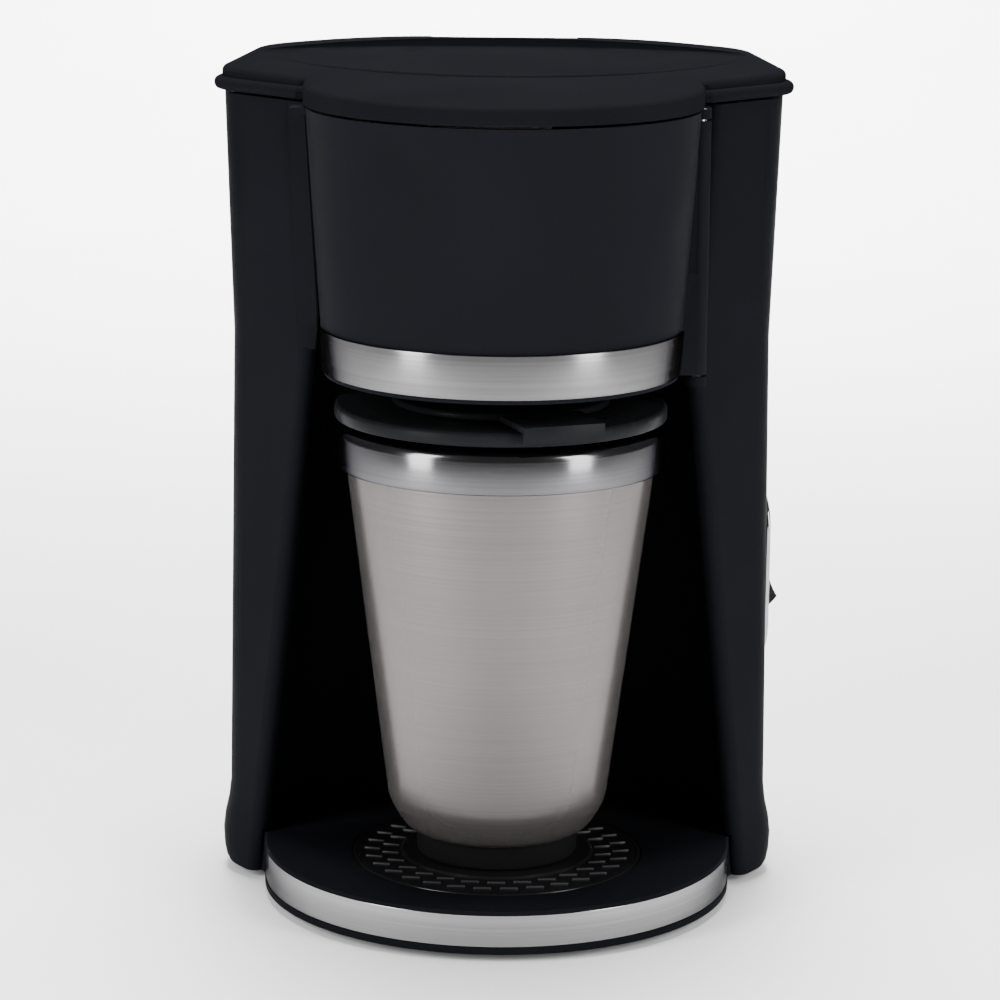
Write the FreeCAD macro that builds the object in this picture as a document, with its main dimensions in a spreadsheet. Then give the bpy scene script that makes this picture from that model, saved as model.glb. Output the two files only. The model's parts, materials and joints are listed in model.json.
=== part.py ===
import FreeCAD, Part
import math
import os
import re

import Sketcher

# A single-cup drip coffee maker with a steel travel mug in its niche.
# Lengths are millimetres.  +Z is up, the table is z = 0, the front faces -Y,
# and the origin is the middle of the footprint.
SIZES = {
    # where the mug's upright axis stands
    "mug_y": -26.2,
    # casing: a moulded tub whose outline is drawn in, kinked and flared with height
    "case_wall": 2.4,
    "case_foot_z": 2.0,
    "head_tall": 72.5,
    "case_top_z": "=head_bottom_z + head_tall",
    "kink_rise": 5.0,
    "kink_z": "=head_bottom_z + kink_rise",
    "skirt_z": 26.0,
    "flare_z": 11.0,
    "wing_wide": 23.3,
    "top_half": "=top_tip_half + wing_wide",
    "kink_draw": 2.5,
    "kink_half": "=top_half - kink_draw",
    "skirt_draw": 1.0,
    "skirt_half": "=top_half - skirt_draw",
    "flare_grow": 1.4,
    "flare_half": "=top_half + flare_grow",
    "foot_draw": 0.6,
    "foot_half": "=top_half - foot_draw",
    "widest_back": 26.0,
    "rear_corner_run": 25.0,
    "rear_corner_back": "=rear_back - rear_corner_run",
    "rear_corner_draw": 9.0,
    "rear_corner_in": 40.9,
    "rear_flat_half": "=top_half - rear_corner_in",
    "rear_room": 48.0,
    "rear_back": "=foot_niche_back + rear_room",
    "tip_round": 3.0,
    "least_round": 0.3,
    "side_round": 16.0,
    "corner_round": 24.0,
    "rear_round": 60.0,
    # wing tips beside the niche, and the niche's back wall
    "top_tip_gap": 2.1,
    "top_tip_half": "=head_top_radius + top_tip_gap",
    "top_tip_back": 3.0,
    "kink_tip_gap": 2.0,
    "kink_tip_half": "=head_low_radius + kink_tip_gap",
    "kink_tip_back": -6.0,
    "foot_tip_gap": 1.0,
    "foot_tip_half": "=base_radius + foot_tip_gap",
    "foot_tip_back": 9.0,
    "top_niche_in": 0.5,
    "top_niche_half": "=head_top_radius - top_niche_in",
    "top_niche_room": 4.5,
    "top_niche_back": "=head_top_radius - head_lead + top_niche_room",
    "kink_niche_gap": 2.5,
    "kink_niche_half": "=head_low_radius + kink_niche_gap",
    "kink_niche_room": 7.5,
    "kink_niche_back": "=head_low_radius - head_lead + kink_niche_room",
    "foot_niche_in": 4.0,
    "foot_niche_half": "=foot_tip_half - foot_niche_in",
    "foot_niche_step": 3.0,
    "foot_niche_back": "=top_niche_back + foot_niche_step",
    "niche_round": 37.0,
    # base under the tub, with the round tray in front
    "tray_z": 14.0,
    "base_radius": 65.0,
    "base_back": 11.0,
    "base_wall": 2.4,
    "base_fit": 0.5,
    "base_slit": 1.2,
    "base_lip": 1.0,
    "lip_tall": 0.9,
    "lip_chamfer": 0.6,
    "toe_tall": 1.9,
    "band_steel": 0.7,
    "band_fit": 0.1,
    "band_angle": 172.0,
    "plate_thick": 2.0,
    "plate_fit": 0.4,
    "vent_half": 22.0,
    "vent_back": 40.0,
    "vent_pitch": 7.0,
    "vent_wide": 2.4,
    "vent_count": 5,
    "drip_radius": 40.6,
    "drip_thick": 1.4,
    "drip_fit": 0.35,
    "drip_land_radius": 26.5,
    "drip_land_rise": 0.7,
    "dash_tall": 0.4,
    "dash_long": 5.0,
    "dash_wide": 0.9,
    "dash_inner_radius": 30.5,
    "dash_outer_radius": 35.5,
    "inner_dash_count": 26,
    "outer_dash_count": 30,
    "foot_radius": 6.0,
    "foot_lift": 2.0,
    "foot_chamfer": 0.6,
    "front_foot_half": 36.0,
    "front_foot_back": -18.0,
    "rear_foot_side": 26.3,
    "rear_foot_half": "=foot_half - rear_foot_side",
    "rear_foot_in": 31.0,
    "rear_foot_back": "=rear_back - rear_foot_in",
    "screw_radius": 1.5,
    "screw_head_radius": 3.2,
    "screw_head_tall": 1.2,
    "screw_reach": 5.2,
    "screw_fit": 0.15,
    "screw_tip_room": 0.5,
    "boss_radius": 4.0,
    "front_screw_half": 46.0,
    "front_screw_back": 2.0,
    "rear_screw_side": 34.3,
    "rear_screw_half": "=foot_half - rear_screw_side",
    "rear_screw_in": 19.0,
    "rear_screw_back": "=rear_back - rear_screw_in",
    # lid over tub and brew head
    "lid_gap": 0.8,
    "lid_wall": 2.0,
    "lid_overhang": 0.6,
    "lid_front_tall": 4.7,
    "lid_rear_tall": 8.1,
    "lid_edge_round": 1.6,
    "bead_proud": 1.9,
    "bead_tall": 3.6,
    "bead_flat": 0.1,
    "bead_round": "=bead_tall / 2 - bead_flat",
    "dish_side": 10.4,
    "dish_radius": "=top_half - dish_side",
    "dish_run": 47.0,
    "dish_back": "=rear_back - dish_run",
    "dish_deep": 2.4,
    "dish_rear_radius": 87.0,
    "dish_rear_edge": 5.0,
    "dish_rear_back": "=rear_back - dish_rear_edge",
    "lid_hinge_out": 2.8,
    "lid_hinge_back": "=rear_back + lid_hinge_out",
    "lid_hinge_rise": 2.0,
    "knuckle_radius": 2.8,
    "lid_knuckle_half": 11.7,
    "knuckle_gap": 0.5,
    "case_knuckle_long": 9.0,
    "stem_deep": 9.0,
    "hinge_pin_radius": 1.25,
    "pin_fit": 0.05,
    # brew head that swings out on a pin at the right
    "head_lead": 4.0,
    "mug_headroom": 5.85,
    "mug_rim_z": "=tray_z + drip_land_rise + mug_seat_fit + mug_foot_tall + mug_bevel_tall + mug_side_tall",
    "mug_crown": "=collar_tall + mug_lid_gap + mug_lid_tall + closure_thick + 2 * closure_gap + rivet_thick",
    "head_bottom_z": "=mug_rim_z + mug_crown + mug_headroom",
    "head_rim_gap": 0.8,
    "head_taper": 5.0,
    "head_low_radius": "=head_top_radius - head_taper",
    "head_top_radius": 53.5,
    "head_wall": 2.2,
    "head_hole_radius": 14.0,
    "head_rear_drop": 11.9,
    "head_rear_z": "=case_top_z - head_rear_drop",
    "drop_left": 10.0,
    "drop_right": -8.0,
    "drop_span": 40.0,
    "ledge_wide": 2.6,
    "ledge_tall": 3.5,
    "tab_reach": 4.0,
    "tab_wide": 9.0,
    "tab_thick": 2.0,
    "tab_lead": 4.0,
    "tab_sink": 0.4,
    "head_band_low": 1.2,
    "head_band_tall": 12.0,
    "head_band_angle": 160.0,
    "head_pin_in": 0.3,
    "head_pin_x": "=head_top_radius - head_pin_in",
    "head_pin_lead": 4.5,
    "head_pin_radius": 1.5,
    "head_knuckle_radius": 2.8,
    "head_web_tall": 28.0,
    "ear_thick": 2.6,
    "ear_gap": 0.5,
    "low_ear_root": 11.0,
    "high_ear_root": 9.0,
    # filter basket and its mesh cone
    "basket_wall": 1.8,
    "basket_fit": 0.8,
    "basket_rim_thick": 1.6,
    "basket_sink": 0.4,
    "basket_in": 8.0,
    "basket_top_radius": "=head_top_radius - basket_in",
    "basket_low_radius": 18.0,
    "basket_floor_up": 13.6,
    "basket_deep": "=head_rear_z - basket_rim_thick - basket_sink - head_bottom_z - basket_floor_up",
    "nozzle_radius": 7.0,
    "nozzle_bore": 4.5,
    "nozzle_reach": 1.6,
    "nozzle_end_z": "=head_bottom_z - nozzle_reach",
    "mesh_thick": 0.8,
    "mesh_fit": 0.3,
    "mesh_clear": 6.0,
    # travel mug
    "mug_seat_fit": 0.05,
    "mug_foot_tall": 6.8,
    "mug_foot_in": 2.5,
    "mug_foot_radius": "=mug_base_radius - mug_foot_in",
    "mug_foot_chamfer": 1.0,
    "mug_base_radius": 25.0,
    "mug_bevel_tall": 8.6,
    "mug_bevel_out": 5.4,
    "mug_bevel_radius": "=mug_base_radius + mug_bevel_out",
    "mug_side_tall": 96.0,
    "mug_top_radius": 42.6,
    "mug_steel": 0.8,
    "mug_air": 2.4,
    "collar_step": 3.4,
    "collar_radius": "=mug_top_radius + collar_step",
    "collar_tall": 11.5,
    "collar_round": 2.6,
    "collar_wall": 1.6,
    "collar_fit": 0.1,
    "mug_lid_gap": 1.6,
    "mug_lid_in": 0.2,
    "mug_lid_radius": "=collar_radius - mug_lid_in",
    "mug_lid_tall": 3.8,
    "mug_lid_chamfer": 0.8,
    "mug_lid_thick": 2.4,
    "mug_lid_deep": 9.0,
    "mug_lid_fit": 0.5,
    "gasket_thick": 1.6,
    "gasket_tall": 2.6,
    "gasket_up": 1.2,
    "gasket_fit": 0.1,
    "closure_radius": 30.0,
    "closure_thick": 1.6,
    "closure_chamfer": 0.5,
    "closure_gap": 0.35,
    "closure_tab_wide": 23.0,
    "closure_tab_out": 1.4,
    "closure_tab_reach": "=mug_lid_radius + closure_tab_out",
    "closure_tab_drop": 4.4,
    "closure_turn": 21.0,
    "post_radius": 4.0,
    "post_fit": 0.08,
    "rivet_radius": 6.5,
    "rivet_thick": 0.8,
    "sip_reach": 24.0,
    "sip_long": 14.0,
    "sip_wide": 6.0,
    # power switch on the right side
    "switch_in": 18.0,
    "switch_back": "=widest_back + switch_in",
    "switch_z": 85.5,
    "switch_proud": 1.6,
    "bezel_tall": 48.0,
    "bezel_lift": 0.4,
    "bezel_wide": 20.0,
    "bezel_sink": 2.6,
    "neck_wall": 1.2,
    "neck_fit": 0.4,
    "rocker_tall": 23.4,
    "rocker_wide": 11.4,
    "rocker_fit": 0.5,
    "rocker_heel": 2.2,
    "rocker_scoop": 26.2,
    "scoop_out": 27.7,
    "scoop_up": 7.0,
    "rocker_pin_radius": 1.5,
    "rocker_pin_in": 4.4,
    "pin_seat": 0.96,
    "switch_box_deep": 11.0,
    "switch_box_wall": 1.5,
    "prong_long": 3.0,
    "prong_wide": 6.0,
    "prong_thick": 0.8,
    "prong_pitch": 12.0,
    # water path
    "tank_side_room": 30.4,
    "tank_half": "=kink_half - tank_side_room",
    "tank_front_gap": 3.1,
    "tank_front_back": "=foot_niche_back + case_wall + tank_front_gap",
    "tank_rear_gap": 6.1,
    "tank_rear_back": "=rear_back - kink_draw - case_wall - tank_rear_gap",
    "tank_cut": 10.0,
    "tank_round": 6.0,
    "tank_wall": 2.0,
    "tank_floor_z": 64.0,
    "tank_top_gap": 7.5,
    "tank_top_z": "=case_top_z - tank_top_gap",
    "tank_leg_radius": 3.6,
    "tank_leg_in": 5.0,
    "tank_leg_half": "=tank_half - tank_leg_in",
    "left_leg_in": 14.75,
    "left_leg_back": "=tank_front_back + left_leg_in",
    "front_leg_in": 5.5,
    "front_leg_back": "=tank_front_back + front_leg_in",
    "rear_leg_in": 12.0,
    "rear_leg_back": "=tank_rear_back - rear_leg_in",
    "drain_in": 10.0,
    "drain_x": "=drain_in - tank_half",
    "drain_rear": 6.0,
    "drain_back": "=tank_rear_back - drain_rear",
    "valve_radius": 7.0,
    "valve_tall": 9.0,
    "valve_step": 1.0,
    "valve_floor": 2.0,
    "seat_rise": 1.4,
    "ball_radius": 3.2,
    "ball_room": 0.5,
    "ball_lift": 1.5,
    "seat_radius": 2.2,
    "tube_radius": 5.0,
    "tube_bore": 3.6,
    "heater_z": 40.0,
    "heater_x": 19.0,
    "heater_end_x": -14.0,
    "hose_gap": 0.1,
    "heater_bend": "=(drain_back - foot_niche_back - case_wall - hose_radius - hose_gap) / 2",
    "element_radius": 3.8,
    "element_drop": 9.2,
    "element_lead": 1.5,
    "element_core": 1.3,
    "hose_radius": 7.0,
    "hose_fit": 0.05,
    "hose_grip": 7.0,
    "hose_bend": 10.0,
    "riser_sink": 8.0,
    "riser_gap": 1.0,
    "riser_x": "=-(tank_half + hose_radius + riser_gap)",
    "riser_back": "=drain_back - 2 * heater_bend",
    "riser_radius": 4.5,
    "riser_bore": 3.3,
    "arm_over": 2.0,
    "arm_z": "=head_rear_z + arm_over",
    "arm_tall": 6.4,
    "arm_wide": 11.0,
    "arm_wall": 1.6,
    "arm_clear": 1.4,
    "arm_root_lap": 1.5,
    "shower_radius": 13.0,
    "shower_ring": 7.8,
    "shower_hole": 1.2,
    "shower_count": 8,
    "strap_wide": 10.0,
    "strap_thick": 1.2,
    "strap_foot": 12.0,
    "strap_pitch": 13.0,
    "thermostat_radius": 7.5,
    "thermostat_tall": 6.0,
    "saddle_lead": 12.0,
    "saddle_long": 14.0,
    "saddle_lap": 3.0,
    "fuse_radius": 2.2,
    "fuse_long": 11.0,
    "fuse_lead": 1.0,
    "fuse_fit": 0.05,
    "gland_x": -8.0,
    "gland_z": 37.0,
    "gland_radius": 6.5,
    "gland_bore": 3.4,
    "gland_proud": 3.0,
    "gland_flange": 2.2,
    "gland_lip": 1.6,
    "flange_gap": 0.35,
    # clearance by which cutting tools overshoot
    "spare": 20.0,
}

doc = FreeCAD.newDocument("coffee_maker")
dims = doc.addObject("Spreadsheet::Sheet", "dims")
for row, (alias, number) in enumerate(SIZES.items(), start=1):
    dims.set(f"A{row}", str(number))
    dims.setAlias(f"A{row}", alias)
doc.recompute()

gauge = doc.addObject("App::VarSet", "gauge")
gauge.addProperty("App::PropertyFloat", "reading")

UP = FreeCAD.Vector(0, 0, 1)
finished = []


def formula(text):
    """The text as an expression on the sheet: every size's name gets the sheet's."""
    return re.sub(r"[a-z][a-z_]*", lambda word: f"dims.{word[0]}" if word[0] in SIZES else word[0], text)


def measure(text):
    """What a formula comes to."""
    gauge.setExpression("reading", formula(text))
    gauge.recompute()
    return gauge.reading


def bind(thing, **properties):
    for name, text in properties.items():
        thing.setExpression(name, formula(text))
    return thing


def place(thing, x="0", y="0", z="0"):
    thing.setExpression("Placement.Base.x", formula(x))
    thing.setExpression("Placement.Base.y", formula(y))
    thing.setExpression("Placement.Base.z", formula(z))
    return thing


def finish(thing, label):
    """Give a finished sub-part its name."""
    thing.Label = label
    finished.append(thing)
    return thing


def corner_points(corners):
    return [FreeCAD.Vector(measure(corner[0]), measure(corner[1]), 0) for corner in corners]


def arc_between(start, end, radius, turn):
    """An arc of under a half circle; turn is 1 to go anticlockwise and -1 clockwise."""
    chord = end - start
    rise = math.sqrt(max(radius ** 2 - (chord.Length / 2) ** 2, 0))
    across = FreeCAD.Vector(-chord.y, chord.x, 0).normalize()
    centre = start + chord * 0.5 + across * (rise * turn)
    first, last = (start, end) if turn > 0 else (end, start)
    angles = [math.atan2(point.y - centre.y, point.x - centre.x) for point in (first, last)]
    return Part.ArcOfCircle(Part.Circle(centre, UP, radius), angles[0], angles[1])


def draw(body, name, plane, corners, offset="0"):
    """A closed sketch whose corners are pairs of formulas.  A corner may add a radius and a
    turn, which make the edge that leaves it an arc."""
    sketch = body.newObject("Sketcher::SketchObject", name)
    support = next(item for item in body.Origin.OriginFeatures if item.Role == plane)
    sketch.AttachmentSupport = [(support, "")]
    sketch.MapMode = "FlatFace"
    sketch.setExpression("AttachmentOffset.Base.z", formula(offset))
    points = corner_points(corners)
    starts = []
    ends = []
    for index, corner in enumerate(corners):
        start = points[index]
        end = points[(index + 1) % len(points)]
        if len(corner) > 2:
            edge = sketch.addGeometry(arc_between(start, end, measure(corner[2]), corner[3]), False)
            radius = sketch.addConstraint(Sketcher.Constraint("Radius", edge, measure(corner[2])))
            sketch.setExpression(f"Constraints[{radius}]", formula(corner[2]))
            starts.append((edge, 1 if corner[3] > 0 else 2))
            ends.append((edge, 2 if corner[3] > 0 else 1))
        else:
            edge = sketch.addGeometry(Part.LineSegment(start, end), False)
            starts.append((edge, 1))
            ends.append((edge, 2))
    for index, corner in enumerate(corners):
        following = starts[(index + 1) % len(starts)]
        sketch.addConstraint(Sketcher.Constraint("Coincident", *ends[index], *following))
        for axis, text in zip("XY", corner[:2]):
            held = sketch.addConstraint(
                Sketcher.Constraint(f"Distance{axis}", -1, 1, *starts[index], measure(text)))
            sketch.setExpression(f"Constraints[{held}]", formula(text))
    return sketch


def revolve(name, profile, y="mug_y", x="0", z="0", angle="360"):
    """A body turned about an upright axis.  The profile's corners are (radius, height), drawn
    on the -Y side, so a part turn is centred on the front."""
    body = doc.addObject("PartDesign::Body", name)
    mirrored = [(f"-({corner[0]})", *corner[1:]) for corner in profile]
    sketch = draw(body, f"{name}_profile", "YZ_Plane", mirrored)
    turn = body.newObject("PartDesign::Revolution", f"{name}_turn")
    turn.Profile = sketch
    turn.ReferenceAxis = (sketch, ["V_Axis"])
    turn.Midplane = True
    bind(turn, Angle=angle)
    place(body, x, y, z)
    return body


def pad(body, name, corners, height, offset="0", plane="XY_Plane"):
    feature = body.newObject("PartDesign::Pad", f"{name}_pad")
    feature.Profile = draw(body, name, plane, corners, offset)
    bind(feature, Length=height)
    return feature


def pocket(body, name, corners, depth, offset="0", plane="XY_Plane", upward=False):
    feature = body.newObject("PartDesign::Pocket", f"{name}_pocket")
    feature.Profile = draw(body, name, plane, corners, offset)
    feature.Reversed = upward
    bind(feature, Length=depth)
    return feature


def polar(body, feature, count):
    """Copies of a feature round the body's own upright axis."""
    pattern = body.newObject("PartDesign::PolarPattern", f"{feature.Name}_ring")
    pattern.Originals = [feature]
    axis = next(item for item in body.Origin.OriginFeatures if item.Role == "Z_Axis")
    pattern.Axis = (axis, [""])
    pattern.Angle = 360
    bind(pattern, Occurrences=count)
    body.Tip = pattern
    return pattern


def rectangle(x0, x1, y0, y1):
    return [(x0, y0), (x1, y0), (x1, y1), (x0, y1)]


def box(name, x, y, z, length, width, height):
    block = bind(doc.addObject("Part::Box", name), Length=length, Width=width, Height=height)
    return place(block, x, y, z)


def rod(name, radius, height, x="0", y="0", z="0", along=UP):
    """A plain round bar along an axis."""
    bar = bind(doc.addObject("Part::Cylinder", name), Radius=radius, Height=height)
    bar.Placement.Rotation = FreeCAD.Rotation(UP, along)
    return place(bar, x, y, z)


def ball(name, radius, x, y, z):
    return place(bind(doc.addObject("Part::Sphere", name), Radius=radius), x, y, z)


def fuse(name, *solids):
    whole = doc.addObject("Part::MultiFuse", name)
    whole.Shapes = list(solids)
    whole.Refine = True
    return whole


def cut(name, base, *tools):
    """The base less each tool in turn."""
    for index, tool in enumerate(tools):
        less = doc.addObject("Part::Cut", f"{name}_less_{index}")
        less.Base = base
        less.Tool = tool
        base = less
    return base


def rounded_edges(name, base, edges, radius):
    """The base with some of its edges rounded over."""
    fillet = doc.addObject("Part::Fillet", name)
    fillet.Base = base
    size = measure(radius)
    fillet.Edges = [(index, size, size) for index, edge in enumerate(base.Shape.Edges, start=1)
                    if any(edge.isSame(chosen) for chosen in edges)]
    return fillet


def common(name, first, second):
    shared = doc.addObject("Part::Common", name)
    shared.Base = first
    shared.Tool = second
    return shared


def group(name, *solids):
    """Like pieces kept as separate solids of one node."""
    together = doc.addObject("Part::Compound", name)
    together.Links = list(solids)
    return together


# outlines with rounded corners, for the tub, the base and the lid

def inset(corners, wall):
    """The outline moved inwards by a wall, its convex rounds tighter and its hollow ones wider."""
    moved = []
    for index, (x, y, radius) in enumerate(corners):
        before = corners[index - 1]
        after = corners[(index + 1) % len(corners)]
        into = FreeCAD.Vector(x - before[0], y - before[1], 0).normalize()
        out = FreeCAD.Vector(after[0] - x, after[1] - y, 0).normalize()
        turn = into.x * out.y - into.y * out.x
        slide = wall * (1 - into.dot(out)) / turn
        shifted = FreeCAD.Vector(x, y, 0) + FreeCAD.Vector(-into.y, into.x, 0) * wall + into * -slide
        moved.append((shifted.x, shifted.y, max(radius - math.copysign(wall, turn),
                                                measure("least_round"))))
    return moved


def rounded(corners, z):
    """A wire of lines and tangent arcs from corners (x, y, radius)."""
    edges = []
    last_out = None
    first_in = None
    for index, (x, y, radius) in enumerate(corners):
        before = corners[index - 1]
        after = corners[(index + 1) % len(corners)]
        corner = FreeCAD.Vector(x, y, z)
        into = (corner - FreeCAD.Vector(before[0], before[1], z)).normalize()
        out = (FreeCAD.Vector(after[0], after[1], z) - corner).normalize()
        half = math.acos(max(-1, min(1, into.dot(out)))) / 2
        reach = radius * math.tan(half)
        enter = corner - into * reach
        leave = corner + out * reach
        inward = (out - into).normalize()
        middle = corner + inward * (radius / math.cos(half) - radius)
        if last_out is not None:
            edges.append(Part.LineSegment(last_out, enter).toShape())
        else:
            first_in = enter
        edges.append(Part.Arc(enter, middle, leave).toShape())
        last_out = leave
    edges.append(Part.LineSegment(last_out, first_in).toShape())
    return Part.Wire(edges)


def wire(name, corners, z):
    feature = doc.addObject("Part::Feature", name)
    feature.Shape = rounded(corners, z)
    return feature


def prism(name, corners, z, height):
    """A rounded outline drawn upwards."""
    lifted = doc.addObject("Part::Extrusion", name)
    lifted.Base = wire(f"{name}_outline", corners, measure(z))
    lifted.DirMode = "Custom"
    lifted.Dir = UP
    lifted.Solid = True
    return bind(lifted, LengthFwd=height)


def loft(name, sections):
    """A solid ruled through outlines, given as (corners, z)."""
    stack = doc.addObject("Part::Loft", name)
    stack.Sections = [wire(f"{name}_{index}", corners, z) for index, (corners, z) in enumerate(sections)]
    stack.Solid = True
    stack.Ruled = True
    return stack


def mirrored_outline(right):
    """A whole outline from the corners of its right side, front to rear."""
    return right + [(-x, y, radius) for x, y, radius in reversed(right)]


def back_half(half):
    """The tub's outer corners behind the wing tips, for one half width."""
    draw_in = measure("top_half") - half
    mug = measure("mug_y")
    return [
        (half, mug + measure("widest_back"), measure("side_round")),
        (half - measure("rear_corner_draw"), mug + measure("rear_corner_back"), measure("corner_round")),
        (measure("rear_flat_half"), mug + measure("rear_back") - draw_in, measure("rear_round")),
    ]


def blend(name, z):
    """A wing or niche size between its values at the tray, the kink and the top."""
    kink = measure("kink_z")
    if z >= kink:
        share = (z - kink) / (measure("case_top_z") - kink)
        return measure(f"kink_{name}") + share * measure(f"top_{name} - kink_{name}")
    share = (kink - z) / (kink - measure("tray_z"))
    return measure(f"kink_{name}") + share * measure(f"foot_{name} - kink_{name}")


def half_width(z):
    """The tub's half width: flared at the skirt, nearly straight, then wider above the kink."""
    skirt, flare, foot = (measure(name) for name in ("skirt_z", "flare_z", "case_foot_z"))
    kink = measure("kink_z")
    if z >= kink:
        share = (z - kink) / measure("case_top_z - kink_z")
        return measure("kink_half") + share * measure("top_half - kink_half")
    if z >= skirt:
        return measure("skirt_half") + (z - skirt) / (kink - skirt) * measure("kink_half - skirt_half")
    if z >= flare:
        ease = (1 + math.cos(math.pi * (z - flare) / (skirt - flare))) / 2
        return measure("skirt_half") + ease * measure("flare_half - skirt_half")
    drop = (flare - z) / (flare - foot)
    return measure("flare_half") - (1 - math.sqrt(1 - 0.99 * drop ** 2)) * measure("flare_half - foot_half")


def tub_outline(z):
    mug = measure("mug_y")
    tip = (blend("tip_half", z), mug + blend("tip_back", z), measure("tip_round"))
    niche = (blend("niche_half", z), mug + blend("niche_back", z), measure("niche_round"))
    return mirrored_outline([niche, tip] + back_half(half_width(z)))


def closed_outline(half, tip_half, tip_back):
    """The tub's outline closed straight across between the wing tips."""
    tip = (tip_half, measure("mug_y") + tip_back, measure("tip_round"))
    return mirrored_outline([tip] + back_half(half))


def tub_heights():
    """Where the tub's outline is taken: closely through the flare, then at the kink and top."""
    flare, skirt, foot = (measure(name) for name in ("flare_z", "skirt_z", "case_foot_z"))
    toe = [foot + (flare - foot) * share for share in (0, 0.15, 0.45)]
    rise = [flare + (skirt - flare) * share for share in (0, 0.33, 0.67, 1)]
    return toe + rise + [measure("kink_z"), measure("case_top_z")]


def switch_frame(thing, out="0", along="0", z="switch_z"):
    """Set a piece in the switch's own frame: x outwards from the tub's side, y to the rear."""
    lean = measure("atan(rear_corner_draw / (rear_corner_back - widest_back))")
    thing.Placement.Rotation = FreeCAD.Rotation(UP, lean)
    widest = "(skirt_half + (kink_half - skirt_half) * (switch_z - skirt_z) / (kink_z - skirt_z))"
    face = f"({widest} - tan({lean} deg) * (switch_back - widest_back))"
    place(thing, f"{face} + cos({lean} deg) * ({out}) - sin({lean} deg) * ({along})",
          f"mug_y + switch_back + sin({lean} deg) * ({out}) + cos({lean} deg) * ({along})", z)
    return thing


# base

def base_outline(extra):
    """The base's rear part, which fills the tub's foot, moved out by an extra."""
    corners = closed_outline(measure("foot_half"), measure("foot_tip_half"), measure("foot_tip_back"))
    return inset(corners, measure("case_wall + base_fit") - extra)


def base_tool(name, reach, rise, extra):
    """Base plan as a solid up from the table: round front and the outline behind it."""
    front = rod(f"{name}_front", reach, rise, y="mug_y + base_back")
    behind = prism(f"{name}_behind", base_outline(extra), "0", rise)
    return fuse(name, front, behind)


def base_screws():
    """The four screws' places."""
    return [(f"{side} * {end}_screw_half", f"mug_y + {end}_screw_back")
            for side in (-1, 1) for end in ("front", "rear")]


def make_base_housing():
    front = revolve("base_front", [
        ("0", "case_foot_z"), ("base_radius + base_lip", "case_foot_z"),
        ("base_radius + base_lip", "case_foot_z + toe_tall"), ("base_radius", "case_foot_z + toe_tall"),
        ("base_radius", "tray_z - lip_tall"), ("base_radius + base_lip", "tray_z - lip_tall"),
        ("base_radius + base_lip - lip_chamfer", "tray_z"), ("0", "tray_z")], y="mug_y + base_back")
    behind = prism("base_behind", base_outline(0), "case_foot_z", "tray_z - case_foot_z")
    hollow_front = rod("base_hollow_front", "base_radius - base_wall", "tray_z - base_wall",
                       y="mug_y + base_back")
    hollow_behind = prism("base_hollow_behind", inset(base_outline(0), measure("base_wall")), "0",
                          "tray_z - base_wall")
    plate_seat = rod("drip_seat", "drip_radius + drip_fit", "spare", y="mug_y", z="tray_z - drip_thick")
    bosses = [rod(f"base_boss_{index}", "boss_radius",
                  "tray_z - base_wall / 2 - case_foot_z - plate_thick",
                  x, y, "case_foot_z + plate_thick") for index, (x, y) in enumerate(base_screws())]
    bores = [rod(f"base_bore_{index}", "screw_radius + screw_fit", "screw_reach + screw_tip_room", x, y,
                 "case_foot_z")
             for index, (x, y) in enumerate(base_screws())]
    shell = cut("base_shell", fuse("base_solid", front, behind), hollow_front, hollow_behind)
    seat_floor = rod("drip_seat_floor", "drip_radius + drip_fit + base_wall", "drip_thick",
                     y="mug_y", z="tray_z - base_wall - drip_thick")
    body = fuse("base_with_bosses", shell, seat_floor, *bosses)
    finish(cut("base_housing", body, plate_seat, *bores), "base_housing")


def make_bottom_plate():
    front = rod("plate_front", "base_radius - base_wall - plate_fit", "plate_thick",
                y="mug_y + base_back", z="case_foot_z")
    behind = prism("plate_behind", inset(base_outline(0), measure("base_wall + plate_fit")),
                   "case_foot_z", "plate_thick")
    sinks = [rod(f"plate_sink_{index}", "screw_head_radius + screw_fit", "screw_head_tall", x, y,
                 "case_foot_z")
             for index, (x, y) in enumerate(base_screws())]
    holes = [rod(f"plate_hole_{index}", "screw_radius + screw_fit", "spare", x, y, "0")
             for index, (x, y) in enumerate(base_screws())]
    vents = [box(f"plate_vent_{index}", "-vent_half", f"mug_y + vent_back + {index} * vent_pitch", "0",
                 "2 * vent_half", "vent_wide", "spare") for index in range(SIZES["vent_count"])]
    finish(cut("bottom_plate", fuse("plate_solid", front, behind), *sinks, *holes, *vents),
           "bottom_plate")


def make_bottom_screws():
    screws = []
    for index, (x, y) in enumerate(base_screws()):
        head = rod(f"screw_head_{index}", "screw_head_radius", "screw_head_tall", x, y, "case_foot_z")
        shank = rod(f"screw_shank_{index}", "screw_radius", "screw_reach", x, y, "case_foot_z")
        screws.append(fuse(f"screw_{index}", head, shank))
    finish(group("bottom_screws", *screws), "bottom_screws")


def make_rubber_feet():
    feet = []
    for side in (-1, 1):
        for end in ("front", "rear"):
            feet.append(revolve(f"{end}_foot_{'left' if side < 0 else 'right'}", [
                ("0", "0"), ("foot_radius - foot_chamfer", "0"), ("foot_radius", "foot_chamfer"),
                ("foot_radius", "foot_lift"), ("0", "foot_lift")],
                x=f"{side} * {end}_foot_half", y=f"mug_y + {end}_foot_back"))
    finish(group("rubber_feet", *feet), "rubber_feet")


def make_base_trim_band():
    inner = "base_radius + band_fit"
    low = "case_foot_z + toe_tall + band_fit"
    high = "tray_z - lip_tall - band_fit"
    finish(revolve("base_trim_band", [
        (inner, low), (f"{inner} + band_steel", low), (f"{inner} + band_steel", high), (inner, high)],
        y="mug_y + base_back", angle="band_angle"), "base_trim_band")


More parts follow.
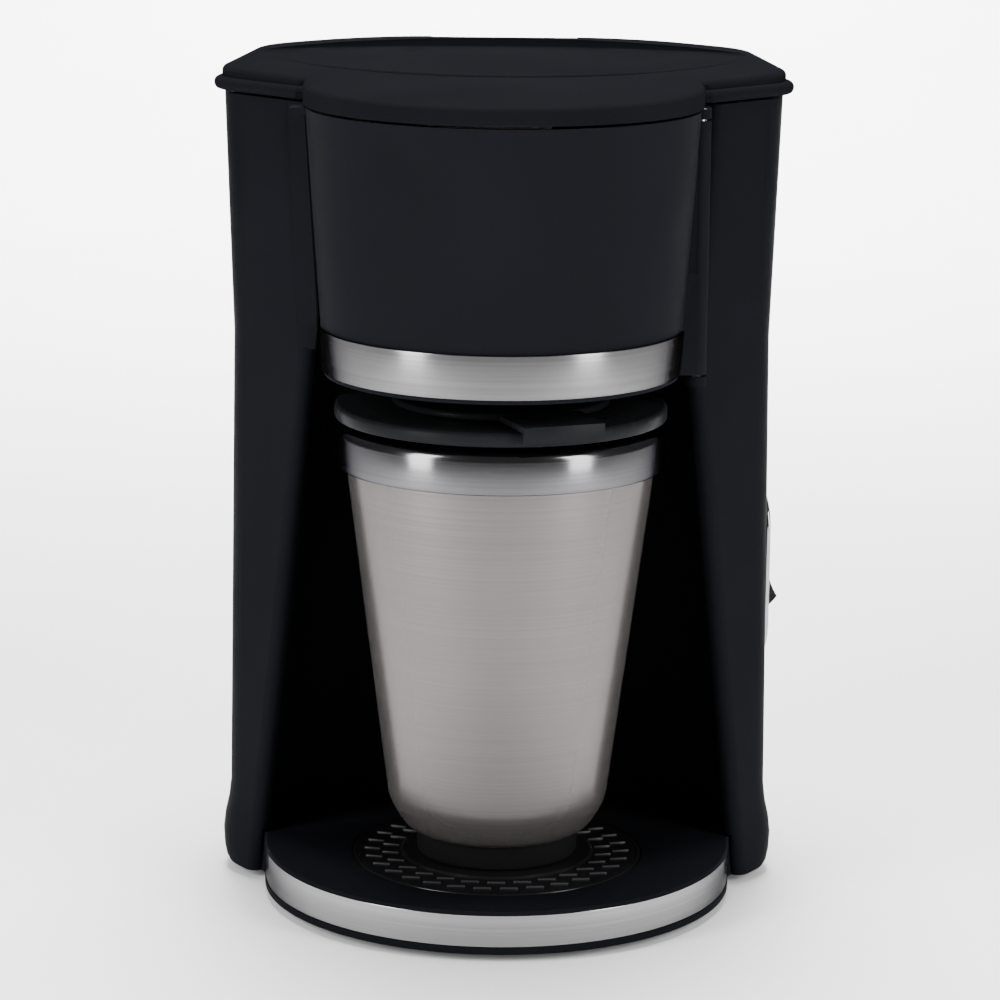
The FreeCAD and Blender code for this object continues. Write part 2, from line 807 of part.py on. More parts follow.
def make_drip_plate():
    body = revolve("drip_plate", [
        ("0", "tray_z - drip_thick"), ("drip_radius", "tray_z - drip_thick"),
        ("drip_radius", "tray_z"), ("drip_land_radius + drip_land_rise", "tray_z"),
        ("drip_land_radius", "tray_z + drip_land_rise"), ("0", "tray_z + drip_land_rise")])
    inner = pad(body, "inner_dash", rectangle("-dash_long / 2", "dash_long / 2", "-dash_inner_radius",
                "dash_wide - dash_inner_radius"), "dash_tall + drip_thick / 2", "tray_z - drip_thick / 2")
    polar(body, inner, "inner_dash_count")
    outer = pad(body, "outer_dash", rectangle("-dash_long / 2", "dash_long / 2", "-dash_outer_radius",
                "dash_wide - dash_outer_radius"), "dash_tall + drip_thick / 2", "tray_z - drip_thick / 2")
    polar(body, outer, "outer_dash_count")
    finish(body, "drip_plate")


# tub

def make_outer_casing():
    heights = tub_heights()
    outside = loft("tub_outside", [(tub_outline(z), z) for z in heights])
    inside = loft("tub_inside", [(inset(tub_outline(z), measure("case_wall")), z) for z in heights])
    foot_room = base_tool("foot_room", "base_radius + base_lip + base_slit", "tray_z + base_fit",
                          measure("base_fit") / 2)
    hole_wide = "(rocker_wide + 2 * (rocker_fit + neck_wall + neck_fit))"
    hole_tall = "(rocker_tall + 2 * (rocker_fit + neck_wall + neck_fit))"
    switch_hole = switch_box("switch_hole", "-spare", f"-{hole_wide} / 2", f"switch_z - {hole_tall} / 2",
                             "2 * spare",
                             hole_wide, hole_tall)
    arm_notch = arm_block("arm_notch", "arm_wide + 2 * arm_clear", "spare", "arm_z - arm_clear")
    gland_hole = rod("gland_hole", "gland_radius + screw_fit", "2 * spare", "gland_x",
                     "mug_y + rear_back - spare", "gland_z", FreeCAD.Vector(0, 1, 0))
    knuckles = []
    bores = []
    for side in (-1, 1):
        start = "lid_knuckle_half + knuckle_gap" if side > 0 else \
            "-(lid_knuckle_half + knuckle_gap + case_knuckle_long)"
        lug = rod(f"case_knuckle_{side + 1}", "knuckle_radius", "case_knuckle_long", start,
                  "mug_y + lid_hinge_back", "case_top_z + lid_hinge_rise", FreeCAD.Vector(1, 0, 0))
        stem = box(f"case_stem_{side + 1}", start, "mug_y + rear_back - case_wall",
                   "case_top_z - stem_deep", "case_knuckle_long",
                   "lid_hinge_back - rear_back + case_wall + knuckle_radius",
                   "lid_hinge_rise + stem_deep")
        knuckles += [lug, stem]
        bores.append(rod(f"case_bore_{side + 1}", "hinge_pin_radius + pin_fit", "case_knuckle_long",
                         start,
                         "mug_y + lid_hinge_back", "case_top_z + lid_hinge_rise",
                         FreeCAD.Vector(1, 0, 0)))
    for level, z in (("low", "head_bottom_z - ear_gap - ear_thick"), ("high", "case_top_z - ear_thick")):
        place_y = "mug_y - head_pin_lead"
        tip = "kink" if level == "low" else "top"
        reach = f"{tip}_tip_back + head_pin_lead + {level}_ear_root"
        knuckles.append(rod(f"ear_{level}", "head_knuckle_radius", "ear_thick", "head_pin_x", place_y, z))
        knuckles.append(box(f"ear_arm_{level}", "head_pin_x - head_knuckle_radius", place_y, z,
                            "2 * head_knuckle_radius", reach, "ear_thick"))
        bores.append(rod(f"ear_bore_{level}", "head_pin_radius + pin_fit", "ear_thick", "head_pin_x",
                         place_y, z))
    shell = cut("tub_shell", outside, inside, foot_room)
    whole = fuse("tub_with_lugs", shell, *knuckles)
    finish(cut("outer_casing", whole, switch_hole, arm_notch, gland_hole, *bores), "outer_casing")


def make_cord_gland():
    seat = "mug_y + rear_back - skirt_draw"
    barrel = rod("gland_barrel", "gland_radius - screw_fit",
                 "case_wall + gland_proud + gland_flange + flange_gap",
                 "gland_x",
                 f"{seat} - case_wall - gland_flange - flange_gap", "gland_z", FreeCAD.Vector(0, 1, 0))
    inner = rod("gland_inner", "gland_radius + gland_lip", "gland_flange", "gland_x",
                f"{seat} - case_wall - gland_flange - flange_gap", "gland_z", FreeCAD.Vector(0, 1, 0))
    outer = rod("gland_outer", "gland_radius + gland_lip", "gland_flange", "gland_x",
                f"{seat} + flange_gap", "gland_z",
                FreeCAD.Vector(0, 1, 0))
    bore = rod("gland_bore_cut", "gland_bore", "3 * spare", "gland_x", f"{seat} - spare", "gland_z",
               FreeCAD.Vector(0, 1, 0))
    finish(cut("cord_gland", fuse("gland_solid", barrel, inner, outer), bore), "cord_gland")


# lid

def tilted_above(name, lower):
    """Everything above the lid's sloping top, less a thickness."""
    rise = measure("lid_rear_tall - lid_front_tall")
    run = measure("rear_back + head_lead + head_top_radius")
    block = doc.addObject("Part::Box", name)
    bind(block, Length="10 * spare", Width="12 * spare", Height="spare")
    block.Placement.Rotation = FreeCAD.Rotation(FreeCAD.Vector(1, 0, 0), math.degrees(math.atan2(rise,
                                                                                                 run)))
    return place(block, "-5 * spare", "mug_y - head_lead - head_top_radius - spare",
                 f"case_top_z + lid_gap + lid_front_tall - ({lower}) - spare * {rise / run}")


def lid_plan(name, grow, z, height):
    outline = closed_outline(measure("top_half"), measure("top_tip_half"), measure("top_tip_back"))
    rear = prism(f"{name}_rear", inset(outline, -grow), z, height)
    front = rod(f"{name}_front", f"head_top_radius + {grow}", height, y="mug_y - head_lead", z=z)
    return fuse(name, rear, front)


def dish(name, grow):
    """The shallow dish in the lid's top: a ball cap with a round rear edge, swollen by a wall."""
    curve = "(dish_radius ^ 2 + dish_deep ^ 2) / (2 * dish_deep)"
    middle = "(dish_back + head_lead + head_top_radius) / (rear_back + head_lead + head_top_radius)"
    plane = f"case_top_z + lid_gap + lid_front_tall + (lid_rear_tall - lid_front_tall) * {middle}"
    cap = ball(f"{name}_ball", f"{curve} + {grow}", "0", "mug_y + dish_back",
               f"{plane} - dish_deep + {curve}")
    rear = rod(f"{name}_rear", f"dish_rear_radius + {grow}", "3 * spare", "0",
               "mug_y + dish_rear_back - dish_rear_radius", "case_top_z")
    return common(name, cap, rear)


def make_lid():
    floor = "case_top_z + lid_gap"
    outline = closed_outline(measure("top_half"), measure("top_tip_half"), measure("top_tip_back"))
    block = cut("lid_block", lid_plan("lid_solid", measure("lid_overhang"), floor,
                                      "lid_rear_tall + lid_wall"),
                tilted_above("lid_top_cut", "0"))
    doc.recompute()
    top = max(block.Shape.Faces, key=lambda face: face.CenterOfMass.z)
    block = rounded_edges("lid_top_round", block, top.Edges, "lid_edge_round")
    bead = prism("lid_bead", inset(outline, -measure("lid_overhang + bead_proud")), floor, "bead_tall")
    doc.recompute()
    level = [edge for edge in bead.Shape.Edges
             if edge.BoundBox.ZLength < edge.BoundBox.DiagonalLength / 1000]
    bead = rounded_edges("lid_bead_round", bead, level, "bead_round")
    room = lid_plan("lid_room", measure("lid_overhang - lid_wall"), floor, "lid_rear_tall + lid_wall")
    hollow = cut("lid_hollow", room, tilted_above("lid_roof_cut", "lid_wall"), dish("lid_dish_under",
                                                                                    "lid_wall"))
    axis_y = "mug_y + lid_hinge_back"
    axis_z = "case_top_z + lid_hinge_rise"
    knuckle = rod("lid_knuckle", "knuckle_radius", "2 * lid_knuckle_half", "-lid_knuckle_half", axis_y,
                  axis_z,
                  FreeCAD.Vector(1, 0, 0))
    gap = box("lid_gap_cut", "-(lid_knuckle_half + 2 * knuckle_gap + case_knuckle_long)",
              "mug_y + rear_back - case_wall - knuckle_gap", "case_top_z",
              "2 * (lid_knuckle_half + 2 * knuckle_gap + case_knuckle_long)", "spare", "spare")
    bore = rod("lid_bore", "hinge_pin_radius + pin_fit", "2 * lid_knuckle_half", "-lid_knuckle_half",
               axis_y,
               axis_z, FreeCAD.Vector(1, 0, 0))
    shell = cut("lid_shell", fuse("lid_with_bead", block, bead), hollow, dish("lid_dish", "0"), gap)
    rear_wall = box("lid_rear_wall", "-(lid_knuckle_half + 2 * knuckle_gap + case_knuckle_long)",
                    "mug_y + rear_back - case_wall - knuckle_gap - lid_wall", floor,
                    "2 * (lid_knuckle_half + 2 * knuckle_gap + case_knuckle_long)", "lid_wall",
                    "lid_rear_tall - lid_wall / 2")
    web = box("lid_web", "-lid_knuckle_half", "mug_y + rear_back - case_wall - knuckle_gap - lid_wall",
                   axis_z, "2 * lid_knuckle_half",
                   "lid_hinge_back - rear_back + case_wall + knuckle_gap + lid_wall", "knuckle_radius")
    finish(cut("lid", fuse("lid_with_knuckle", shell, rear_wall, web, knuckle), bore), "lid")
    finish(rod("lid_hinge_pin", "hinge_pin_radius",
               "2 * (lid_knuckle_half + knuckle_gap + case_knuckle_long)",
               "-(lid_knuckle_half + knuckle_gap + case_knuckle_long)", axis_y, axis_z,
               FreeCAD.Vector(1, 0, 0)), "lid_hinge_pin")


# brew head

HEAD_Y = "mug_y - head_lead"
HEAD_RIM = "case_top_z + lid_gap - head_rim_gap"
HEAD_SLOPE = f"((head_top_radius - head_low_radius) / ({HEAD_RIM} - head_bottom_z))"
LEDGE_Z = "(head_rear_z - basket_rim_thick - basket_sink)"


def head_radius(z):
    return f"(head_low_radius + {HEAD_SLOPE} * ({z} - head_bottom_z))"


def make_brew_head():
    floor = "head_bottom_z + head_wall"
    below = f"{LEDGE_Z} - ledge_tall"
    body = revolve("head_shell", [
        ("head_hole_radius", "head_bottom_z"), ("head_low_radius", "head_bottom_z"),
        ("head_top_radius", HEAD_RIM), ("head_top_radius - head_wall", HEAD_RIM),
        (f"{head_radius(LEDGE_Z)} - head_wall", LEDGE_Z),
        (f"{head_radius(LEDGE_Z)} - head_wall - ledge_wide", LEDGE_Z),
        (f"{head_radius(LEDGE_Z)} - head_wall - ledge_wide", below),
        (f"{head_radius(below)} - head_wall", f"{below} - ledge_wide"),
        (f"{head_radius(floor)} - head_wall", floor), ("head_hole_radius", floor)], y=HEAD_Y)
    pocket(body, "rear_drop", [
        ("-2 * head_top_radius", "drop_left"), ("-drop_span", "drop_left"), ("drop_span", "drop_right"),
        ("2 * head_top_radius", "drop_right"), ("2 * head_top_radius", "2 * head_top_radius"),
        ("-2 * head_top_radius", "2 * head_top_radius")], "spare", "head_rear_z", upward=True)
    pad(body, "finger_tab", rectangle("-(head_top_radius + tab_reach)", "head_wall - head_top_radius",
                                      "-tab_lead",
        "tab_wide - tab_lead"), "tab_thick", f"{HEAD_RIM} - tab_thick - tab_sink")
    pin_y = "mug_y - head_pin_lead"
    column_tall = "(case_top_z - ear_thick - ear_gap - head_bottom_z)"
    column = rod("head_column", "head_knuckle_radius", column_tall, "head_pin_x", pin_y, "head_bottom_z")
    web = box("head_web", "head_low_radius - head_wall / 2", f"{pin_y} - head_knuckle_radius",
              "head_bottom_z",
              "head_pin_x - head_low_radius + head_wall / 2", "2 * head_knuckle_radius", "head_web_tall")
    bore = rod("head_bore", "head_pin_radius + pin_fit", column_tall, "head_pin_x", pin_y,
               "head_bottom_z")
    finish(cut("brew_head_bored", fuse("brew_head_lugged", body, column, web), bore), "brew_head")
    finish(rod("head_hinge_pin", "head_pin_radius", "case_top_z - head_bottom_z + ear_gap + ear_thick",
               "head_pin_x", pin_y, "head_bottom_z - ear_gap - ear_thick"), "head_hinge_pin")


def make_head_trim_band():
    low = "(head_bottom_z + head_band_low)"
    high = f"({low} + head_band_tall)"
    finish(revolve("head_trim_band", [
        (f"{head_radius(low)} + band_fit", low), (f"{head_radius(low)} + band_fit + band_steel", low),
        (f"{head_radius(high)} + band_fit + band_steel", high),
        (f"{head_radius(high)} + band_fit", high)],
        y=HEAD_Y, angle="head_band_angle"), "head_trim_band")


def make_filter_basket():
    top = f"({LEDGE_Z} + basket_rim_thick)"
    rim = f"({head_radius(LEDGE_Z)} - head_wall - basket_fit)"
    low = f"({LEDGE_Z} - basket_deep)"
    finish(revolve("filter_basket", [
        ("nozzle_bore", "nozzle_end_z"), ("nozzle_radius", "nozzle_end_z"),
        ("nozzle_radius", f"{low} - basket_wall"),
        ("basket_low_radius + basket_wall", f"{low} - basket_wall"), ("basket_top_radius", LEDGE_Z),
        (rim, LEDGE_Z),
        (rim, top), ("basket_top_radius - basket_wall", top), ("basket_low_radius", low),
        ("nozzle_bore", low)],
        y=HEAD_Y), "filter_basket")


def make_mesh_filter():
    top = f"({LEDGE_Z} + basket_rim_thick)"
    low = f"({LEDGE_Z} - basket_deep + mesh_clear)"
    slope = f"((basket_top_radius - basket_wall - basket_low_radius) / (basket_deep + basket_rim_thick))"
    foot = f"(basket_low_radius + {slope} * mesh_clear - mesh_fit)"
    mouth = "(basket_top_radius - basket_wall - mesh_fit)"
    finish(revolve("mesh_filter", [
        ("0", low), (foot, low), (mouth, top), ("basket_top_radius", top),
        ("basket_top_radius", f"{top} + mesh_thick"),
        (f"{mouth} - mesh_thick", f"{top} + mesh_thick"), (f"{foot} - mesh_thick", f"{low} + mesh_thick"),
        ("0", f"{low} + mesh_thick")], y=HEAD_Y), "mesh_filter")


# travel mug

MUG_Z = "(tray_z + drip_land_rise + mug_seat_fit)"
BASE_Z = f"({MUG_Z} + mug_foot_tall)"
BEVEL_Z = f"({BASE_Z} + mug_bevel_tall)"
COLLAR_Z = f"({BEVEL_Z} + mug_side_tall)"
LIP_Z = f"({COLLAR_Z} + collar_tall)"
LID_Z = f"({LIP_Z} + mug_lid_gap)"
LINER_RADIUS = "(mug_top_radius - mug_steel - mug_air)"
CLOSURE_Z = f"({LID_Z} + mug_lid_tall + closure_gap)"
POST_Z = f"({CLOSURE_Z} + closure_thick + closure_gap)"


def make_mug():
    finish(revolve("mug_foot", [
        ("0", MUG_Z), ("mug_foot_radius - mug_foot_chamfer", MUG_Z),
        ("mug_foot_radius", f"{MUG_Z} + mug_foot_chamfer"),
        ("mug_foot_radius", BASE_Z), ("0", BASE_Z)]), "mug_foot")
    finish(revolve("mug_body", [
        ("0", BASE_Z), ("mug_base_radius", BASE_Z), ("mug_bevel_radius", BEVEL_Z),
        ("mug_top_radius", COLLAR_Z),
        ("mug_top_radius", f"{LIP_Z} - collar_wall"),
        ("mug_top_radius - mug_steel", f"{LIP_Z} - collar_wall"),
        ("mug_top_radius - mug_steel", COLLAR_Z), ("mug_bevel_radius - mug_steel", BEVEL_Z),
        ("mug_base_radius - mug_steel", f"{BASE_Z} + mug_steel"), ("0", f"{BASE_Z} + mug_steel")]),
        "mug_body")
    floor = f"({BEVEL_Z} - mug_air)"
    finish(revolve("mug_liner", [
        ("0", floor), ("mug_bevel_radius - mug_steel - mug_air", floor), (LINER_RADIUS, COLLAR_Z),
        (LINER_RADIUS, f"{LIP_Z} - collar_wall"),
        (f"{LINER_RADIUS} - mug_steel", f"{LIP_Z} - collar_wall"),
        (f"{LINER_RADIUS} - mug_steel", COLLAR_Z),
        ("mug_bevel_radius - 2 * mug_steel - mug_air", f"{floor} + mug_steel"),
        ("0", f"{floor} + mug_steel")]),
        "mug_liner")
    finish(revolve("mug_collar", [
        ("mug_top_radius + collar_fit", COLLAR_Z), ("collar_radius", COLLAR_Z),
        ("collar_radius", f"{LIP_Z} - collar_round", "collar_round", 1),
        ("collar_radius - collar_round", LIP_Z), (f"{LINER_RADIUS} - mug_steel", LIP_Z),
        (f"{LINER_RADIUS} - mug_steel", f"{LIP_Z} - collar_wall + collar_fit"),
        ("mug_top_radius + collar_fit", f"{LIP_Z} - collar_wall + collar_fit")]), "mug_collar")


def make_mug_lid():
    plug = f"({LINER_RADIUS} - mug_steel - mug_lid_fit - gasket_thick / 2)"
    roof = f"({LID_Z} + mug_lid_tall)"
    groove_low = f"({LIP_Z} - mug_lid_deep + gasket_up)"
    body = revolve("mug_lid", [
        (f"{plug} - mug_lid_thick", f"{LIP_Z} - mug_lid_deep"), (plug, f"{LIP_Z} - mug_lid_deep"),
        (plug, groove_low), (f"{plug} - gasket_thick / 2", groove_low),
        (f"{plug} - gasket_thick / 2", f"{groove_low} + gasket_tall"),
        (plug, f"{groove_low} + gasket_tall"),
        (plug, LID_Z), ("mug_lid_radius", LID_Z), ("mug_lid_radius", f"{roof} - mug_lid_chamfer"),
        ("mug_lid_radius - mug_lid_chamfer", roof),
        ("post_radius", roof), ("post_radius", POST_Z), ("0", POST_Z), ("0", f"{roof} - mug_lid_thick"),
        (f"{plug} - mug_lid_thick", f"{roof} - mug_lid_thick")])
    pocket(body, "sip_hole", rectangle("-sip_long / 2", "sip_long / 2", "-sip_reach - sip_wide",
                                       "-sip_reach"),
           "spare / 2", f"{roof} + closure_gap / 2")
    finish(body, "mug_lid")
    inner = f"({plug} - gasket_thick / 2 + gasket_fit / 2)"
    outer = f"({plug} + gasket_thick / 2)"
    finish(revolve("mug_lid_gasket", [
        (inner, f"{groove_low} + gasket_fit"), (outer, f"{groove_low} + gasket_fit"),
        (outer, f"{groove_low} + gasket_tall - gasket_fit"),
        (inner, f"{groove_low} + gasket_tall - gasket_fit")]),
        "mug_lid_gasket")
    finish(revolve("closure_rivet", [
        ("0", POST_Z), ("rivet_radius", POST_Z),
        ("rivet_radius - rivet_thick / 2", f"{POST_Z} + rivet_thick"),
        ("0", f"{POST_Z} + rivet_thick")]), "closure_rivet")


def make_sip_closure():
    body = revolve("sip_closure", [
        ("post_radius + post_fit", CLOSURE_Z), ("closure_radius", CLOSURE_Z),
        ("closure_radius", f"{CLOSURE_Z} + closure_thick - closure_chamfer"),
        ("closure_radius - closure_chamfer", f"{CLOSURE_Z} + closure_thick"),
        ("post_radius + post_fit", f"{CLOSURE_Z} + closure_thick")])
    pad(body, "thumb_strip", rectangle("-closure_tab_wide / 2", "closure_tab_wide / 2",
                                       "-closure_tab_reach",
        "closure_chamfer * 2 - closure_radius"), "closure_thick", CLOSURE_Z)
    pad(body, "thumb_lip", rectangle("-closure_tab_wide / 2", "closure_tab_wide / 2",
                                     "-closure_tab_reach",
        "-mug_lid_radius - closure_gap"), "closure_tab_drop",
        f"{CLOSURE_Z} + closure_thick - closure_tab_drop")
    body.Placement.Rotation = FreeCAD.Rotation(UP, measure("closure_turn"))
    finish(body, "sip_closure")


# power switch

def switch_box(name, out, along, rise, deep, wide, tall):
    block = bind(doc.addObject("Part::Box", name), Length=deep, Width=wide, Height=tall)
    return switch_frame(block, out, along, rise)


def switch_rod(name, radius, length, out, along, rise, axis):
    bar = bind(doc.addObject("Part::Cylinder", name), Radius=radius, Height=length)
    switch_frame(bar, out, along, rise)
    bar.Placement.Rotation = bar.Placement.Rotation.multiply(FreeCAD.Rotation(UP, axis))
    return bar


def stadium(name, out, deep, wide, tall):
    """An upright slot shape in the switch's frame, drawn outwards."""
    outward = FreeCAD.Vector(1, 0, 0)
    middle = switch_box(f"{name}_middle", out, f"-({wide}) / 2",
                        f"switch_z - ({tall}) / 2 + ({wide}) / 2", deep, wide,
                        f"({tall}) - ({wide})")
    ends = [switch_rod(f"{name}_end_{sign + 1}", f"({wide}) / 2", deep, out, "0",
                       f"switch_z + {sign} * (({tall}) / 2 - ({wide}) / 2)", outward) for sign in (-1, 1)]
    return fuse(name, middle, *ends)


def make_switch():
    across = FreeCAD.Vector(0, 1, 0)
    window_wide = "rocker_wide + 2 * rocker_fit"
    window_tall = "rocker_tall + 2 * rocker_fit"
    flange = stadium("bezel_flange", "bezel_lift", "switch_proud", "bezel_wide", "bezel_tall")
    neck = switch_box("bezel_neck", "-bezel_sink", f"-({window_wide}) / 2 - neck_wall",
                      f"switch_z - ({window_tall}) / 2 - neck_wall",
                      "bezel_sink + bezel_lift + switch_proud / 2", f"{window_wide} + 2 * neck_wall",
                      f"{window_tall} + 2 * neck_wall")
    window = switch_box("bezel_window", "-spare", f"-({window_wide}) / 2",
                        f"switch_z - ({window_tall}) / 2", "2 * spare",
                        window_wide, window_tall)
    finish(cut("switch_bezel", fuse("bezel_solid", flange, neck), window), "switch_bezel")

    outer = switch_box("housing_outer", "-bezel_sink - switch_box_deep",
                       f"-({window_wide}) / 2 - neck_wall",
                       f"switch_z - ({window_tall}) / 2 - neck_wall", "switch_box_deep",
                       f"{window_wide} + 2 * neck_wall",
                       f"{window_tall} + 2 * neck_wall")
    room = switch_box("housing_room", "-bezel_sink - switch_box_deep + switch_box_wall",
                      f"-({window_wide}) / 2",
                      f"switch_z - ({window_tall}) / 2", "switch_box_deep", window_wide, window_tall)
    prongs = [switch_box(f"switch_prong_{index}", "-bezel_sink - switch_box_deep - prong_long",
                         "-prong_wide / 2", f"switch_z + ({index} - 0.5) * prong_pitch",
                         "prong_long + switch_box_wall / 2", "prong_wide",
                         "prong_thick") for index in range(2)]

    drum = switch_rod("rocker_drum", "rocker_tall / 2", "rocker_wide", "-rocker_pin_in",
                      "-rocker_wide / 2",
                      "switch_z", across)
    heel = switch_box("rocker_heel_cut", "-rocker_pin_in - rocker_heel - spare", "-rocker_wide",
                      "switch_z - spare", "spare", "2 * rocker_wide", "2 * spare")
    scoop = switch_rod("rocker_scoop", "rocker_scoop", "2 * rocker_wide", "scoop_out", "-rocker_wide",
                       "switch_z + scoop_up", across)
    pin = switch_rod("rocker_pin_bar", "rocker_pin_radius", f"{window_wide} + 2 * pin_seat",
                     "-rocker_pin_in",
                     f"-({window_wide}) / 2 - pin_seat", "switch_z", across)
    pin_bore = switch_rod("rocker_pin_bore", "rocker_pin_radius + pin_fit", "2 * rocker_wide",
                          "-rocker_pin_in",
                          "-rocker_wide", "switch_z", across)
    finish(cut("rocker", drum, heel, scoop, pin_bore), "rocker")
    finish(pin, "rocker_pin")
    pivot = switch_rod("housing_pivot", "rocker_pin_radius + pin_fit", "rocker_wide + spare",
                       "-rocker_pin_in",
                       "-(rocker_wide + spare) / 2", "switch_z", across)
    finish(fuse("switch_housing", cut("housing_shell", outer, room, pivot), *prongs), "switch_housing")


# water path

def tank_corners(grow):
    mug = measure("mug_y")
    half = measure("tank_half")
    front = mug + measure("tank_front_back")
    rear = mug + measure("tank_rear_back")
    trim = measure("tank_cut")
    round_off = measure("tank_round")
    return inset(mirrored_outline([(half, front, round_off), (half, rear - trim, round_off),
                                   (half - trim, rear, round_off)]), -grow)


DRAIN_Y = "mug_y + drain_back"
VALVE_Z = "(tank_floor_z - valve_tall)"
BALL_Z = f"({VALVE_Z} + valve_floor + ball_radius)"


def make_water_tank():
    outside = prism("tank_outside", tank_corners(0), "tank_floor_z", "tank_top_z - tank_floor_z")
    inside = prism("tank_inside", inset(tank_corners(0), measure("tank_wall")),
                   "tank_floor_z + tank_wall",
                   "tank_top_z - tank_floor_z")
    legs = [rod(f"tank_{leg}", "tank_leg_radius", "tank_floor_z - tray_z + tank_wall / 2", x,
                f"mug_y + {leg}_back", "tray_z")
            for leg, x in (("left_leg", "-tank_leg_half"), ("front_leg", "tank_leg_half"),
                           ("rear_leg", "tank_leg_half"))]
    drain = rod("tank_drain", "ball_radius + ball_room", "3 * tank_wall", "drain_x", DRAIN_Y,
                "tank_floor_z - tank_wall")
    finish(cut("water_tank", fuse("tank_with_legs", cut("tank_shell", outside, inside), *legs), drain),
           "water_tank")


def make_check_valve():
    room = "ball_radius + ball_room"
    finish(revolve("check_valve_body", [
        ("seat_radius", VALVE_Z), ("tube_radius", VALVE_Z), ("tube_radius", f"{VALVE_Z} + valve_step"),
        ("valve_radius", f"{VALVE_Z} + valve_step"), ("valve_radius", "tank_floor_z"),
        (room, "tank_floor_z"),
        (room, f"{VALVE_Z} + valve_floor + seat_rise"), ("seat_radius", f"{VALVE_Z} + valve_floor")],
        x="drain_x", y=DRAIN_Y), "check_valve_body")
    finish(ball("check_valve_ball", "ball_radius", "drain_x", DRAIN_Y, BALL_Z), "check_valve_ball")


def run_of(size, path):
    """A round bar along joined edges: a straight run is drawn out and a bend is turned."""
    runs = []
    for edge in path:
        start = edge.valueAt(edge.FirstParameter)
        heading = edge.tangentAt(edge.FirstParameter)
        disc = Part.Face(Part.Wire(Part.makeCircle(size, start, heading)))
        if isinstance(edge.Curve, Part.Circle):
            angle = math.degrees(edge.LastParameter - edge.FirstParameter)
            runs.append(disc.revolve(edge.Curve.Center, edge.Curve.Axis, angle))
        else:
            runs.append(disc.extrude(heading * edge.Length))
    return runs[0].multiFuse(runs[1:]).removeSplitter()


def swept(name, radius, bore, path):
    """A round tube along straight runs and tangent bends."""
    tube = doc.addObject("Part::Feature", name)
    tube.Shape = run_of(measure(radius), path).cut(run_of(measure(bore), path))
    return tube


def bent(points, radii):
    """The edges of a path through points, each inner corner an arc of its own radius."""
    corners = [FreeCAD.Vector(*(round(measure(text), 6) for text in point)) for point in points]
    edges = []
    start = corners[0]
    for corner, following, radius in zip(corners[1:-1], corners[2:], radii):
        into = (corner - start).normalize()
        out = (following - corner).normalize()
        half = math.acos(into.dot(out)) / 2
        size = measure(radius)
        enter = corner - into * (size * math.tan(half))
        leave = corner + out * (size * math.tan(half))
        middle = corner + (out - into).normalize() * (size / math.cos(half) - size)
        edges.append(Part.LineSegment(start, enter).toShape())
        edges.append(Part.Arc(enter, middle, leave).toShape())
        start = leave
    edges.append(Part.LineSegment(start, corners[-1]).toShape())
    return edges


HEATER_FRONT = "(mug_y + drain_back - 2 * heater_bend)"


def heater_path(drop, lead):
    """The heater's U: in along the rear leg, round the bend and back along the front leg."""
    z = f"heater_z - ({drop})"
    end = f"heater_end_x + ({lead})"
    corners = [(end, DRAIN_Y, z), ("heater_x", DRAIN_Y, z), ("heater_x", HEATER_FRONT, z),
               (end, HEATER_FRONT, z)]
    rear_end, rear, front, front_end = [FreeCAD.Vector(*(measure(text) for text in corner))
                                        for corner in corners]
    crown = (rear + front) * 0.5 + FreeCAD.Vector(measure("heater_bend"), 0, 0)
    return [Part.LineSegment(rear_end, rear).toShape(), Part.Arc(rear, crown, front).toShape(),
            Part.LineSegment(front, front_end).toShape()]


def make_heater():
    finish(swept("heater_tube", "tube_radius", "tube_bore", heater_path("0", "0")), "heater_tube")
    element = heater_path("element_drop", "hose_grip + element_lead")
    finish(swept("heating_element", "element_radius", "element_core", element),
           "heating_element")
    straps = []
    for index, x in enumerate(("heater_x - strap_wide / 2 - strap_pitch", "heater_x - strap_wide / 2")):
        for row, y in enumerate((DRAIN_Y, HEATER_FRONT)):
            foot = box(f"strap_foot_{index}_{row}", f"{x} - strap_wide / 2", f"{y} - strap_foot / 2",
                       "tray_z", "strap_wide", "strap_foot",
                       "strap_thick")
            post = box(f"strap_post_{index}_{row}", f"{x} - strap_wide / 2", f"{y} - strap_thick",
                       "tray_z", "strap_wide",
                       "2 * strap_thick", "heater_z - element_drop - element_radius - tray_z")
            straps.append(fuse(f"strap_{index}_{row}", foot, post))
    finish(group("heater_brackets", *straps), "heater_brackets")
    top = "heater_z + tube_radius"
    middle_y = f"({DRAIN_Y} - heater_bend)"
    saddle = box("thermostat_saddle", "heater_x - saddle_lead", f"{middle_y} - heater_bend - saddle_lap",
                 top,
                 "saddle_long", "2 * (heater_bend + saddle_lap)", "strap_thick")
    can = rod("thermostat_can", "thermostat_radius", "thermostat_tall",
              "heater_x - saddle_lead + saddle_long / 2",
              middle_y, f"{top} + strap_thick")
    finish(fuse("thermostat", saddle, can), "thermostat")
    finish(rod("thermal_fuse", "fuse_radius", "fuse_long", "heater_end_x + hose_grip + fuse_lead",
               HEATER_FRONT,
               f"{top} + fuse_radius + fuse_fit", FreeCAD.Vector(1, 0, 0)), "thermal_fuse")


